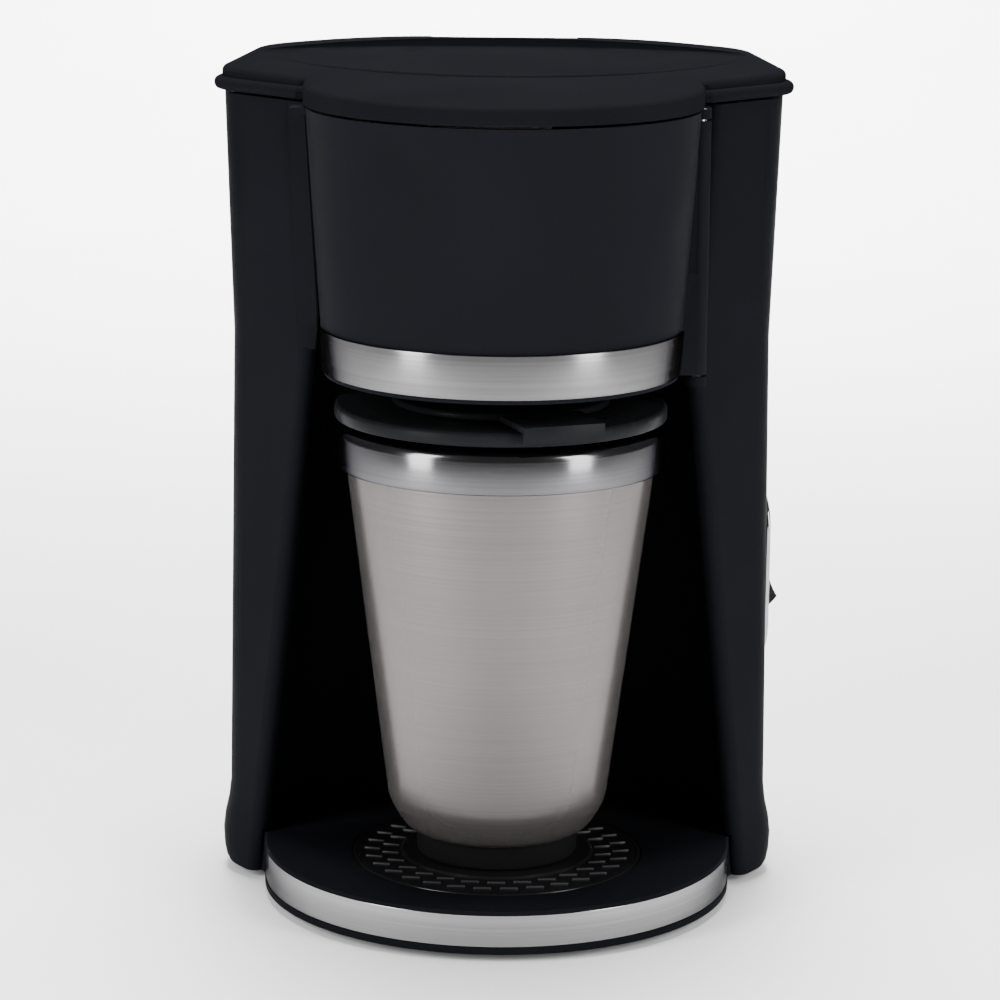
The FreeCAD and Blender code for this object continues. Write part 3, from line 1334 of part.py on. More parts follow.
def make_hoses():
    grip = "hose_grip"
    fit = "tube_radius + hose_fit"
    inlet = bent([("drain_x", DRAIN_Y, f"{VALVE_Z} + valve_step"), ("drain_x", DRAIN_Y, "heater_z"),
                  (f"heater_end_x + {grip}", DRAIN_Y, "heater_z")], ["hose_bend"])
    finish(swept("inlet_hose", "hose_radius", fit, inlet), "inlet_hose")
    riser_y = "mug_y + riser_back"
    outlet = bent([(f"heater_end_x + {grip}", HEATER_FRONT, "heater_z"), ("riser_x", riser_y, "heater_z"),
                   ("riser_x", riser_y, "heater_z + hose_bend + riser_sink + hose_grip")], ["hose_bend"])
    finish(swept("outlet_hose", "hose_radius", fit, outlet), "outlet_hose")
    foot = "heater_z + hose_bend + riser_sink"
    outer = rod("riser_outer", "riser_radius", f"arm_z - ({foot}) + arm_tall / 2", "riser_x", riser_y,
                foot)
    collar = rod("riser_collar", "tube_radius", "hose_grip", "riser_x", riser_y, foot)
    bore = rod("riser_bore_cut", "riser_bore", "case_top_z", "riser_x", riser_y, foot)
    finish(cut("riser_tube", fuse("riser_solid", outer, collar), bore), "riser_tube")


ARM_RUN = "(sqrt(riser_x ^ 2 + (riser_back + head_lead) ^ 2))"


def arm_block(name, wide, tall, z):
    """A bar from the riser towards the middle of the brew head."""
    heading = math.degrees(math.atan2(-measure("riser_back + head_lead"), -measure("riser_x")))
    turned = FreeCAD.Rotation(UP, heading)
    bar = bind(doc.addObject("Part::Box", name), Length=ARM_RUN, Width=wide, Height=tall)
    bar.Placement.Rotation = turned
    side = turned.multVec(FreeCAD.Vector(0, 1, 0))
    return place(bar, f"riser_x - ({side.x}) * ({wide}) / 2",
                 f"mug_y + riser_back - ({side.y}) * ({wide}) / 2", z)


def make_spout_arm():
    bar = arm_block("arm_bar", "arm_wide", "arm_tall", "arm_z")
    root = rod("arm_root", "arm_wide / 2 + arm_root_lap", "arm_tall", "riser_x", "mug_y + riser_back",
               "arm_z")
    rose = rod("arm_rose", "shower_radius", "arm_tall", y=HEAD_Y, z="arm_z")
    channel = arm_block("arm_channel", "arm_wide - 2 * arm_wall", "arm_tall - 2 * arm_wall",
                        "arm_z + arm_wall")
    chamber = rod("arm_chamber", "shower_radius - arm_wall", "arm_tall - 2 * arm_wall", y=HEAD_Y,
                  z="arm_z + arm_wall")
    socket = rod("arm_socket", "riser_radius + hose_fit", "arm_tall / 2", "riser_x", "mug_y + riser_back",
                 "arm_z")
    holes = []
    for index in range(SIZES["shower_count"]):
        angle = 360 * index / SIZES["shower_count"]
        holes.append(rod(f"shower_hole_{index}", "shower_hole", "2 * arm_wall",
                         f"shower_ring * cos({angle} deg)",
                         f"{HEAD_Y} + shower_ring * sin({angle} deg)", "arm_z - arm_wall / 2"))
    finish(cut("spout_arm", fuse("arm_solid", bar, root, rose), channel, chamber, socket, *holes),
           "spout_arm")


for make in (make_base_housing, make_bottom_plate, make_bottom_screws, make_rubber_feet,
             make_base_trim_band,
             make_drip_plate, make_outer_casing, make_cord_gland, make_lid, make_brew_head,
             make_head_trim_band,
             make_filter_basket, make_mesh_filter, make_mug, make_mug_lid, make_sip_closure, make_switch,
             make_water_tank, make_check_valve, make_heater, make_hoses, make_spout_arm):
    make()
doc.recompute()

for thing in doc.Objects:
    if "Invalid" in thing.State or "Error" in thing.State:
        raise RuntimeError(f"{thing.Label} failed: {thing.State}")
for thing in finished:
    if thing.Shape.isNull() or not thing.Shape.isValid():
        raise RuntimeError(f"{thing.Label} has no valid shape")

os.makedirs("parts", exist_ok=True)
for thing in finished:
    thing.Shape.exportStep(f"parts/{thing.Label}.step")
    print(thing.Label, len(thing.Shape.Solids), round(thing.Shape.Volume))
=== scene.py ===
import json
import math
import bmesh
import bpy
from mathutils import Euler, Matrix, Vector


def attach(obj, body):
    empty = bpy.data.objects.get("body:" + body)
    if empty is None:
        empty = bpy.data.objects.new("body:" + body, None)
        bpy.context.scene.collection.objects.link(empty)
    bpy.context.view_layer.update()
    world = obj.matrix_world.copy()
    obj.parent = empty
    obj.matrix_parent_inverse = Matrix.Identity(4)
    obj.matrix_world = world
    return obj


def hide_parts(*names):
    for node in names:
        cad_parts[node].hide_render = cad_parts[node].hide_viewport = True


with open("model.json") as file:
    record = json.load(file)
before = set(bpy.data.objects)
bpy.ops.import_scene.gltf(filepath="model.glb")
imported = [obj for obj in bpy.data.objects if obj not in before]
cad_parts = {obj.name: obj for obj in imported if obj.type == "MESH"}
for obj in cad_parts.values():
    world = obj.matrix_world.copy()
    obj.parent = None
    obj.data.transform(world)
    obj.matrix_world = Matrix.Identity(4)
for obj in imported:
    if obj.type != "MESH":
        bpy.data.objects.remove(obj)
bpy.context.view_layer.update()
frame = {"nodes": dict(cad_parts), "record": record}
print("frame loaded:", len(frame["nodes"]), "nodes")

mm = 0.001  # the sizes of pieces are in millimetres, those of shaders and the stage in metres
bodies = frame["record"]["behaviour"]["bodies"]
nodeBody = {node: body for body, nodes in bodies.items() for node in nodes}
mugAxis = (0.0, -26.2)  # upright axes of the round pieces, as (x, y)
headAxis = (0.0, -30.2)
baseAxis = (0.0, -15.2)


# shader nodes that the finishes share
def startMaterial(name):
    material = bpy.data.materials.new(name)
    material.use_nodes = True
    tree = material.node_tree
    return material, tree, tree.nodes["Principled BSDF"]


def objectCoordinates(tree, scale=(1, 1, 1), turn=(0, 0, 0)):
    place = tree.nodes.new("ShaderNodeTexCoord")
    mapping = tree.nodes.new("ShaderNodeMapping")
    mapping.inputs["Scale"].default_value = scale
    mapping.inputs["Rotation"].default_value = turn
    tree.links.new(place.outputs["Object"], mapping.inputs["Vector"])
    return mapping.outputs["Vector"]


def noise(tree, vector, scale, detail, rough=0.5):
    node = tree.nodes.new("ShaderNodeTexNoise")
    node.inputs["Scale"].default_value = scale
    node.inputs["Detail"].default_value = detail
    node.inputs["Roughness"].default_value = rough
    tree.links.new(vector, node.inputs["Vector"])
    return node.outputs["Fac"]


def ramp(tree, factor, low, high, start=0.3, end=0.7):
    node = tree.nodes.new("ShaderNodeValToRGB")
    node.color_ramp.elements[0].position = start
    node.color_ramp.elements[1].position = end
    node.color_ramp.elements[0].color = (*low, 1)
    node.color_ramp.elements[1].color = (*high, 1)
    tree.links.new(factor, node.inputs["Fac"])
    return node.outputs["Color"]


def spread(tree, factor, low, high, start=0.3, end=0.7):
    node = tree.nodes.new("ShaderNodeMapRange")
    for key, value in (("From Min", start), ("From Max", end), ("To Min", low), ("To Max", high)):
        node.inputs[key].default_value = value
    tree.links.new(factor, node.inputs["Value"])
    return node.outputs["Result"]


def bump(tree, shader, height, strength, distance):
    node = tree.nodes.new("ShaderNodeBump")
    node.inputs["Strength"].default_value = strength
    node.inputs["Distance"].default_value = distance
    tree.links.new(height, node.inputs["Height"])
    tree.links.new(node.outputs["Normal"], shader.inputs["Normal"])


# a maths node, each of whose inputs is a fixed number or comes from another node
def maths(tree, operation, *inputs):
    node = tree.nodes.new("ShaderNodeMath")
    node.operation = operation
    for socket, value in zip(node.inputs, inputs):
        if isinstance(value, float):
            socket.default_value = value
        else:
            tree.links.new(value, socket)
    return node.outputs[0]


# moulded plastic: faint shade drift, uneven gloss and a fine spark-eroded grain
def mouldedPlastic(name, dark, light, gloss, grain, deep, specular=0.028):
    material, tree, shader = startMaterial(name)
    vector = objectCoordinates(tree)
    drift = noise(tree, vector, scale=22, detail=3)
    patches = noise(tree, vector, scale=60, detail=4)
    tree.links.new(ramp(tree, drift, dark, light), shader.inputs["Base Color"])
    tree.links.new(spread(tree, patches, *gloss), shader.inputs["Roughness"])
    shader.inputs["Specular IOR Level"].default_value = specular
    pits = noise(tree, vector, scale=grain, detail=3, rough=0.6)
    bump(tree, shader, pits, strength=0.35, distance=deep)
    return material


# steel brushed round the piece: streaks that are short in height and long round it
def brushedSteel(name, dark, light, gloss, rim, streak=1400, along=5, metal=1.0):
    material, tree, shader = startMaterial(name)
    vector = objectCoordinates(tree, scale=(along, along, streak))
    streaks = noise(tree, vector, scale=1.0, detail=4, rough=0.65)
    tree.links.new(ramp(tree, streaks, dark, light, start=0.25, end=0.75), shader.inputs["Base Color"])
    drift = noise(tree, objectCoordinates(tree), scale=9, detail=2)
    wear = maths(tree, "MULTIPLY_ADD", drift, 0.35, streaks)
    tree.links.new(spread(tree, wear, *gloss, start=0.35, end=1.0), shader.inputs["Roughness"])
    shader.inputs["Metallic"].default_value = metal
    shader.inputs["Specular Tint"].default_value = (rim, rim, rim, 1)  # shade where seen edge on
    bump(tree, shader, streaks, strength=0.25, distance=0.00001)
    return material


# plated or cast metal with smudged gloss
def smudgedMetal(name, dark, light, gloss, smear=80, deep=0.00002):
    material, tree, shader = startMaterial(name)
    vector = objectCoordinates(tree)
    smears = noise(tree, vector, scale=smear, detail=4, rough=0.6)
    tree.links.new(ramp(tree, smears, dark, light), shader.inputs["Base Color"])
    tree.links.new(spread(tree, smears, *gloss), shader.inputs["Roughness"])
    shader.inputs["Metallic"].default_value = 1.0
    pits = noise(tree, vector, scale=smear * 12, detail=2)
    bump(tree, shader, pits, strength=0.2, distance=deep)
    return material


# woven filter cloth of fine wire, seen as crossing ridges
def wovenWire(name, dark, light, gloss, pitch):
    material, tree, shader = startMaterial(name)
    threads = []
    for degrees in (0, 90):
        wave = tree.nodes.new("ShaderNodeTexWave")
        wave.wave_type = "BANDS"
        wave.bands_direction = "DIAGONAL"
        wave.inputs["Scale"].default_value = pitch
        vector = objectCoordinates(tree, turn=(0, 0, math.radians(degrees)))
        tree.links.new(vector, wave.inputs["Vector"])
        threads.append(wave.outputs["Fac"])
    weave = maths(tree, "MAXIMUM", *threads)
    tree.links.new(ramp(tree, weave, dark, light, start=0.2, end=0.8), shader.inputs["Base Color"])
    tree.links.new(spread(tree, weave, *gloss, start=0, end=1), shader.inputs["Roughness"])
    shader.inputs["Metallic"].default_value = 0.9
    bump(tree, shader, weave, strength=0.6, distance=0.0001)
    return material


# finishes by slot; lid, head, dash and baseBand are variants for pieces that share a slot with others
plastics = {
    "casing": {"name": "casingSatin", "dark": (0.0054, 0.0058, 0.0073), "light": (0.0062, 0.0067, 0.0084),
               "gloss": (0.42, 0.52), "grain": 3200, "deep": 0.00004, "specular": 0.003},
    "lid": {"name": "lidSatin", "dark": (0.0058, 0.0061, 0.0074), "light": (0.0068, 0.0072, 0.0087),
            "gloss": (0.46, 0.56), "grain": 3200, "deep": 0.00004, "specular": 0.0},
    "head": {"name": "headSatin", "dark": (0.0066, 0.0071, 0.0089), "light": (0.0076, 0.0082, 0.0102),
             "gloss": (0.46, 0.56), "grain": 3200, "deep": 0.00003, "specular": 0.003},
    "tray": {"name": "trayGloss", "dark": (0.005, 0.005, 0.0056), "light": (0.008, 0.008, 0.0088),
             "gloss": (0.14, 0.22), "grain": 900, "deep": 0.000012, "specular": 0.3},
    # dash: a lighter copy of the tray's black plastic, its colour painted highlight on the raised dashes
    "dash": {"name": "dashWorn", "dark": (0.02, 0.02, 0.0215), "light": (0.034, 0.034, 0.036),
             "gloss": (0.2, 0.3), "grain": 900, "deep": 0.000012, "specular": 0.3},
    "rubber": {"name": "softRubber", "dark": (0.004, 0.004, 0.0042), "light": (0.007, 0.007, 0.0073),
               "gloss": (0.6, 0.78), "grain": 1500, "deep": 0.00005},
    "gloss_black": {"name": "glossBlack", "dark": (0.008, 0.0084, 0.0094), "light": (0.0115, 0.012, 0.0134),
                    "gloss": (0.24, 0.34), "grain": 1100, "deep": 0.00001},
    "inner_plastic": {"name": "naturalPlastic", "dark": (0.6, 0.585, 0.54), "light": (0.7, 0.69, 0.65),
                      "gloss": (0.4, 0.52), "grain": 1600, "deep": 0.00003},
    "basket_plastic": {"name": "basketSatin", "dark": (0.012, 0.012, 0.013), "light": (0.02, 0.02, 0.021),
                       "gloss": (0.38, 0.5), "grain": 2200, "deep": 0.00004},
    "hose": {"name": "siliconeHose", "dark": (0.62, 0.6, 0.55), "light": (0.74, 0.72, 0.68),
             "gloss": (0.35, 0.5), "grain": 700, "deep": 0.00003},
}
steels = {
    "steel_trim": {"name": "bandBrushed", "dark": (0.12, 0.118, 0.121), "light": (0.168, 0.165, 0.169),
                   "gloss": (0.15, 0.22), "rim": 0.04},
    "baseBand": {"name": "footBandBrushed", "dark": (0.21, 0.208, 0.214), "light": (0.28, 0.277, 0.284),
                 "gloss": (0.15, 0.22), "rim": 0.3},
    "mug_steel": {"name": "mugSatin", "dark": (0.122, 0.112, 0.109), "light": (0.156, 0.144, 0.14),
                  "gloss": (0.2, 0.28), "rim": 0.35, "streak": 1700, "along": 4, "metal": 0.72},
    "bright_steel": {"name": "collarTurned", "dark": (0.1, 0.099, 0.104), "light": (0.135, 0.133, 0.139),
                     "gloss": (0.12, 0.2), "rim": 0.04, "streak": 2200, "along": 3},
}
metals = {
    "fastener": {"name": "platedPin", "dark": (0.5, 0.5, 0.51), "light": (0.66, 0.66, 0.67),
                 "gloss": (0.2, 0.34)},
    "chrome": {"name": "polishedChrome", "dark": (0.24, 0.24, 0.25), "light": (0.32, 0.32, 0.33),
               "gloss": (0.08, 0.15), "smear": 45, "deep": 0.000005},
    "heater_metal": {"name": "castAluminium", "dark": (0.42, 0.42, 0.425), "light": (0.6, 0.6, 0.605),
                     "gloss": (0.38, 0.55), "smear": 120, "deep": 0.00006},
}
cloths = {
    "mesh": {"name": "filterCloth", "dark": (0.2, 0.17, 0.1), "light": (0.62, 0.55, 0.38),
             "gloss": (0.5, 0.28), "pitch": 900},
}
finishes = {}
for makeFinish, looks in ((mouldedPlastic, plastics), (brushedSteel, steels),
                          (smudgedMetal, metals), (wovenWire, cloths)):
    for key, look in looks.items():
        finishes[key] = makeFinish(**look)
print("finishes made:", len(finishes))


def link(name, data):
    item = bpy.data.objects.new(name, data)
    bpy.context.scene.collection.objects.link(item)
    return item


# bakes an object's modifiers into a plain mesh
def settle(item):
    bpy.context.view_layer.update()
    evaluated = item.evaluated_get(bpy.context.evaluated_depsgraph_get())
    mesh = bpy.data.meshes.new_from_object(evaluated)
    item.modifiers.clear()
    old = item.data
    item.data = mesh
    bpy.data.meshes.remove(old)
    return item


def shade(item, sharpAbove):
    item.data.shade_smooth()
    item.data.set_sharp_from_angle(angle=math.radians(sharpAbove))
    return item


# a piece that takes the place of a CAD node
def dress(item, node, slot, finish=None):
    item.data.materials.clear()
    item.data.materials.append(finishes[finish or slot])
    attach(item, nodeBody[node])
    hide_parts(node)
    return item


# a piece that adds to a CAD node and takes the place of none
def added(item, body, finish):
    item.data.materials.append(finishes[finish])
    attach(item, body)


skinLook = {"merge": 0.002, "flat": 0.4, "segments": 2, "softAbove": 38}


# a soft-edged copy of a CAD node: edges sharper than softAbove degrees are rounded
def skin(node, slot, soften=0.0, sharpAbove=32, finish=None, name=None):
    mesh = frame["nodes"][node].data.copy()
    work = bmesh.new()
    work.from_mesh(mesh)
    bmesh.ops.remove_doubles(work, verts=work.verts, dist=skinLook["merge"] * mm)
    bmesh.ops.dissolve_limit(work, angle_limit=math.radians(skinLook["flat"]),
                             verts=work.verts, edges=work.edges)
    work.to_mesh(mesh)
    work.free()
    item = link(name or node + "_skin", mesh)
    if soften:
        edge = item.modifiers.new("edges", "BEVEL")
        edge.width = soften * mm
        edge.segments = skinLook["segments"]
        edge.limit_method = "ANGLE"
        edge.angle_limit = math.radians(skinLook["softAbove"])
        edge.use_clamp_overlap = True
        settle(item)
    shade(item, sharpAbove)
    return dress(item, node, slot, finish)


# closes rings of (x, y, z) points into a solid, capped at both ends or joined up when endless
def solidThrough(name, rings, endless=False):
    work = bmesh.new()
    rings = [[work.verts.new([size * mm for size in spot]) for spot in ring] for ring in rings]
    following = rings[1:] + rings[:1] if endless else rings[1:]
    for here, there in zip(rings, following):
        for index in range(len(here)):
            other = (index + 1) % len(here)
            work.faces.new((here[index], here[other], there[other], there[index]))
    if not endless:
        work.faces.new(rings[0])
        work.faces.new(list(reversed(rings[-1])))
    bmesh.ops.remove_doubles(work, verts=work.verts, dist=1e-7)  # points that meet on an axis
    bmesh.ops.dissolve_degenerate(work, edges=work.edges, dist=1e-8)
    bmesh.ops.recalc_face_normals(work, faces=work.faces)
    mesh = bpy.data.meshes.new(name)
    work.to_mesh(mesh)
    work.free()
    return link(name, mesh)


cornerLook = {"mostOfSide": 0.49, "stepDegrees": 15}


# rounds the corners of a closed profile given as (radius, height, corner radius)
def softProfile(corners):
    points = []
    for index, (r, z, rounding) in enumerate(corners):
        here = Vector((r, z))
        if rounding <= 0:
            points.append(here)
            continue
        before = Vector(corners[index - 1][:2]) - here
        after = Vector(corners[(index + 1) % len(corners)][:2]) - here
        angle = before.angle(after)
        most = cornerLook["mostOfSide"]
        reach = min(rounding / math.tan(angle / 2), before.length * most, after.length * most)
        size = reach * math.tan(angle / 2)
        middle = here + (before.normalized() + after.normalized()).normalized() * (size / math.sin(angle / 2))
        start = here + before.normalized() * reach - middle
        end = here + after.normalized() * reach - middle
        steps = max(2, int(math.degrees(math.pi - angle) / cornerLook["stepDegrees"]) + 1)
        turn = start.angle_signed(end)
        for step in range(steps + 1):
            a = -turn * step / steps
            points.append(middle + Vector((start.x * math.cos(a) - start.y * math.sin(a),
                                           start.x * math.sin(a) + start.y * math.cos(a))))
    return points


# turns a closed profile round an upright axis, wholly or over an arc centred on the front
def turned(name, corners, axis, steps, arc=360, sharpAbove=40):
    points = softProfile(corners)
    whole = arc >= 360
    first = -90 - arc / 2
    rings = []
    for step in range(steps if whole else steps + 1):
        a = math.radians(first + arc * step / steps)
        rings.append([(axis[0] + p.x * math.cos(a), axis[1] + p.x * math.sin(a), p.y) for p in points])
    return shade(solidThrough(name, rings, endless=whole), sharpAbove)


def heights(low, high, steps):
    return [low + (high - low) * step / steps for step in range(steps + 1)]


# Geometry Nodes: copies of one small shape on a ring
def scatterTree(name, material):
    tree = bpy.data.node_groups.new(name, "GeometryNodeTree")
    tree.interface.new_socket("Geometry", in_out="INPUT", socket_type="NodeSocketGeometry")
    for label, kind in (("Shape", "Object"), ("Count", "Int"), ("Radius", "Float"), ("Start", "Float"),
                        ("Centre", "Vector"), ("Facing", "Float"), ("Tilt", "Float")):
        tree.interface.new_socket(label, in_out="INPUT", socket_type="NodeSocket" + kind)
    tree.interface.new_socket("Geometry", in_out="OUTPUT", socket_type="NodeSocketGeometry")
    nodes, links = tree.nodes, tree.links
    enter = nodes.new("NodeGroupInput").outputs
    leave = nodes.new("NodeGroupOutput").inputs

    points = nodes.new("GeometryNodePoints")
    links.new(enter["Count"], points.inputs["Count"])
    index = nodes.new("GeometryNodeInputIndex").outputs[0]
    share = maths(tree, "DIVIDE", index, enter["Count"])
    angle = maths(tree, "MULTIPLY_ADD", share, math.tau, enter["Start"])

    # each copy's place on the ring
    ringSpot = nodes.new("ShaderNodeCombineXYZ")
    for side, operation in (("X", "COSINE"), ("Y", "SINE")):
        reach = maths(tree, "MULTIPLY", maths(tree, operation, angle), enter["Radius"])
        links.new(reach, ringSpot.inputs[side])
    centred = nodes.new("ShaderNodeVectorMath")
    centred.operation = "ADD"
    links.new(ringSpot.outputs[0], centred.inputs[0])
    links.new(enter["Centre"], centred.inputs[1])
    placed = nodes.new("GeometryNodeSetPosition")
    links.new(points.outputs[0], placed.inputs["Geometry"])
    links.new(centred.outputs[0], placed.inputs["Position"])

    # each copy's turn: a share of its angle on the ring, and a tilt that all have
    turn = nodes.new("ShaderNodeCombineXYZ")
    links.new(maths(tree, "MULTIPLY_ADD", angle, enter["Facing"], enter["Tilt"]), turn.inputs["Z"])

    source = nodes.new("GeometryNodeObjectInfo")
    links.new(enter["Shape"], source.inputs["Object"])
    copies = nodes.new("GeometryNodeInstanceOnPoints")
    links.new(placed.outputs[0], copies.inputs["Points"])
    links.new(source.outputs["Geometry"], copies.inputs["Instance"])
    links.new(turn.outputs[0], copies.inputs["Rotation"])
    solid = nodes.new("GeometryNodeRealizeInstances")
    links.new(copies.outputs[0], solid.inputs[0])
    paint = nodes.new("GeometryNodeSetMaterial")
    paint.inputs["Material"].default_value = material
    links.new(solid.outputs[0], paint.inputs["Geometry"])
    links.new(paint.outputs[0], leave["Geometry"])
    return tree


def scatter(name, material, values):
    tree = scatterTree(name + "Tree", material)
    item = link(name, bpy.data.meshes.new(name))
    modifier = item.modifiers.new("scatter", "NODES")
    modifier.node_group = tree
    for socket in tree.interface.items_tree:
        if socket.item_type == "SOCKET" and socket.in_out == "INPUT" and socket.name in values:
            modifier[socket.identifier] = values[socket.name]
    return settle(item)


def join(name, items):
    work = bmesh.new()
    for item in items:
        work.from_mesh(item.data)
    mesh = bpy.data.meshes.new(name)
    work.to_mesh(mesh)
    work.free()
    for item in items:
        bpy.data.objects.remove(item)
    return link(name, mesh)


# moulded body
tubLook = {"name": "casing_tub", "slot": "casing", "soften": 0.5, "sharpAbove": 30}
skin("outer_casing", **tubLook)

headCone = {"foot": 152.0, "rim": 224.5, "lowRadius": 48.5, "topRadius": 53.5}


def headRadius(z):
    share = (z - headCone["foot"]) / (headCone["rim"] - headCone["foot"])
    return headCone["lowRadius"] + share * (headCone["topRadius"] - headCone["lowRadius"])


# the left wing runs on to a fine edge beside the head and rounds off again below it
wingEdge = {"kink": 157.0, "top": 224.3, "fade": 13.0, "levels": 12, "reach": 8.0, "fine": 0.4, "gap": 0.35,
            "round": 5.2, "sharpAbove": 50,
            "tip": {"kink": (50.5, -32.2), "top": (55.6, -23.2)},
            "side": {"kink": (76.4, -0.2), "top": (78.9, -0.2)},
            "niche": {"kink": (51.0, 25.8), "top": (53.0, 27.8)}}


def wingPoint(name, share):
    low, high = wingEdge[name]["kink"], wingEdge[name]["top"]
    return Vector((low[0] + (high[0] - low[0]) * share, low[1] + (high[1] - low[1]) * share))


rings = []
for z in heights(wingEdge["kink"], wingEdge["top"], wingEdge["levels"]):
    share = (z - wingEdge["kink"]) / (wingEdge["top"] - wingEdge["kink"])
    tip = wingPoint("tip", share)
    front = (wingPoint("side", share) - tip).normalized()
    inner = (wingPoint("niche", share) - tip).normalized()
    fade = min(1.0, (z - wingEdge["kink"]) / wingEdge["fade"])
    back = (front + inner).normalized() * (wingEdge["round"] * (1 - math.sin(fade * math.pi / 2)))
    nose = Vector((headRadius(z) + wingEdge["gap"], tip.y)) + back
    fine = wingEdge["fine"]
    plan = [tip + front * wingEdge["reach"],
            nose + front * fine * 2, nose + (front + inner) * fine, nose + inner * fine * 2,
            tip + inner * wingEdge["reach"]]
    rings.append([(-spot.x, spot.y, z) for spot in plan])
wing = shade(solidThrough("casing_wing_edge", rings), wingEdge["sharpAbove"])
added(wing, "chassis", "casing")

mouldings = {
    "base_housing": {"name": "base_shell", "slot": "casing", "soften": 0.35, "sharpAbove": 30},
    "bottom_plate": {"name": "base_closing_plate", "slot": "casing", "soften": 0.25, "sharpAbove": 30},
    "lid": {"name": "lid_cover", "slot": "casing", "sharpAbove": 28, "finish": "lid"},
}
for node, look in mouldings.items():
    skin(node, **look)

# the dish in the lid's top: its front edge, where the hollow meets the sloping top, stands up as a bead
lidDish = {"radius": 68.5, "deep": 2.4, "centre": 31.8, "level": 232.417, "slope": 0.02092,
           "first": 186, "last": 354, "steps": 96}
dishBead = {"tall": 0.65, "wide": 1.04, "sunk": 0.1, "sides": 10, "endFade": 0.3, "sharpAbove": 60}


def dishEdge(angle):
    lean = lidDish["slope"] * lidDish["radius"] * math.sin(angle)
    share = (lean + math.sqrt(lean ** 2 + 4 * lidDish["deep"] ** 2)) / (2 * lidDish["deep"])
    reach = lidDish["radius"] * share
    return Vector((reach * math.cos(angle), lidDish["centre"] + reach * math.sin(angle),
                   lidDish["level"] + lean * share - dishBead["sunk"]))


path = []
for step in range(lidDish["steps"] + 1):
    turn = lidDish["first"] + (lidDish["last"] - lidDish["first"]) * step / lidDish["steps"]
    path.append(dishEdge(math.radians(turn)))
rings = []
for index, spot in enumerate(path):
    along = path[min(index + 1, len(path) - 1)] - path[max(index - 1, 0)]
    across = Vector((along.y, -along.x, 0)).normalized() * dishBead["wide"]
    fade = math.sin(math.pi * (index + 0.5) / len(path)) ** dishBead["endFade"]
    upright = Vector((0, 0, dishBead["tall"] * fade))
    sides = [math.tau * side / dishBead["sides"] for side in range(dishBead["sides"])]
    rings.append([spot + across * math.cos(a) + upright * math.sin(a) for a in sides])
bead = shade(solidThrough("lid_dish_edge", rings), dishBead["sharpAbove"])
added(bead, nodeBody["lid"], "lid")

headLook = {"name": "brew_head_shell", "slot": "casing", "soften": 0.45, "sharpAbove": 30, "finish": "head"}
coneLook = {"near": 0.06, "alike": 0.97}  # how closely a corner and its face have to lie on the cone


# shading normals of a cone about an upright axis, where the faces lie on it
def coneNormals(item, axis, radiusAt, slope):
    mesh = item.data
    lean = Vector((1, -slope)).normalized()
    normals = [corner.vector.copy() for corner in mesh.corner_normals]
    for face in mesh.polygons:
        for loop in face.loop_indices:
            spot = mesh.vertices[mesh.loops[loop].vertex_index].co / mm
            out = Vector((spot.x - axis[0], spot.y - axis[1], 0))
            if abs(out.length - radiusAt(spot.z)) > coneLook["near"]:
                continue
            out.normalize()
            exact = Vector((out.x * lean.x, out.y * lean.x, lean.y))
            if face.normal.dot(exact) > coneLook["alike"]:
                normals[loop] = exact
    mesh.normals_split_custom_set(normals)


head = skin("brew_head", **headLook)
headSlope = (headCone["topRadius"] - headCone["lowRadius"]) / (headCone["rim"] - headCone["foot"])
coneNormals(head, headAxis, headRadius, headSlope)

# the web that ties the hinge column to the head, carried on above its CAD foot
hingeWeb = {"low": 165.0, "high": 221.0, "levels": 8, "front": -33.4, "back": -28.0, "out": 51.4, "in": 1.0,
            "least": 0.4, "pin": 53.2, "lip": 0.9, "sharpAbove": 50}
front, back, out, pin = (hingeWeb[key] for key in ("front", "back", "out", "pin"))
lip = front + hingeWeb["lip"]
rings = []
for z in heights(hingeWeb["low"], hingeWeb["high"], hingeWeb["levels"]):
    root = min(headRadius(z) - hingeWeb["in"], out - hingeWeb["least"])
    plan = [(root, front), (pin, front), (pin, lip), (out, lip), (out, back), (root, back)]
    rings.append([(x, y, z) for x, y in plan])
web = shade(solidThrough("head_hinge_web", rings), hingeWeb["sharpAbove"])
added(web, nodeBody["brew_head"], "head")

rubbers = {
    "cord_gland": {"name": "cord_gland_sleeve", "slot": "rubber", "soften": 0.3},
    "rubber_feet": {"name": "feet_pads", "slot": "rubber", "soften": 0.25},
}
for node, look in rubbers.items():
    skin(node, **look)
print("moulded body done")

# steel bands, each a thin strip bent round the front
bandLook = {"steel": 0.7, "fit": 0.1, "edge": 0.22, "steps": 220}
headBand = {"low": 153.2, "high": 165.2, "arc": 160}
baseBand = {"low": 4.0, "high": 13.0, "arc": 172, "radius": 65.0}


def steelBand(name, look, axis, lowRadius, highRadius):
    low, high, edge = look["low"], look["high"], bandLook["edge"]
    inner = bandLook["fit"]
    outer = inner + bandLook["steel"]
    return turned(name, [
        (lowRadius + inner, low, 0), (lowRadius + outer, low, edge),
        (highRadius + outer, high, edge), (highRadius + inner, high, 0)],
        axis, bandLook["steps"], look["arc"])


band = steelBand("head_band_steel", headBand, headAxis,
                 headRadius(headBand["low"]), headRadius(headBand["high"]))
dress(band, "head_trim_band", "steel_trim")
band = steelBand("base_band_steel", baseBand, baseAxis, baseBand["radius"], baseBand["radius"])
dress(band, "base_trim_band", "steel_trim", "baseBand")
print("steel bands done")

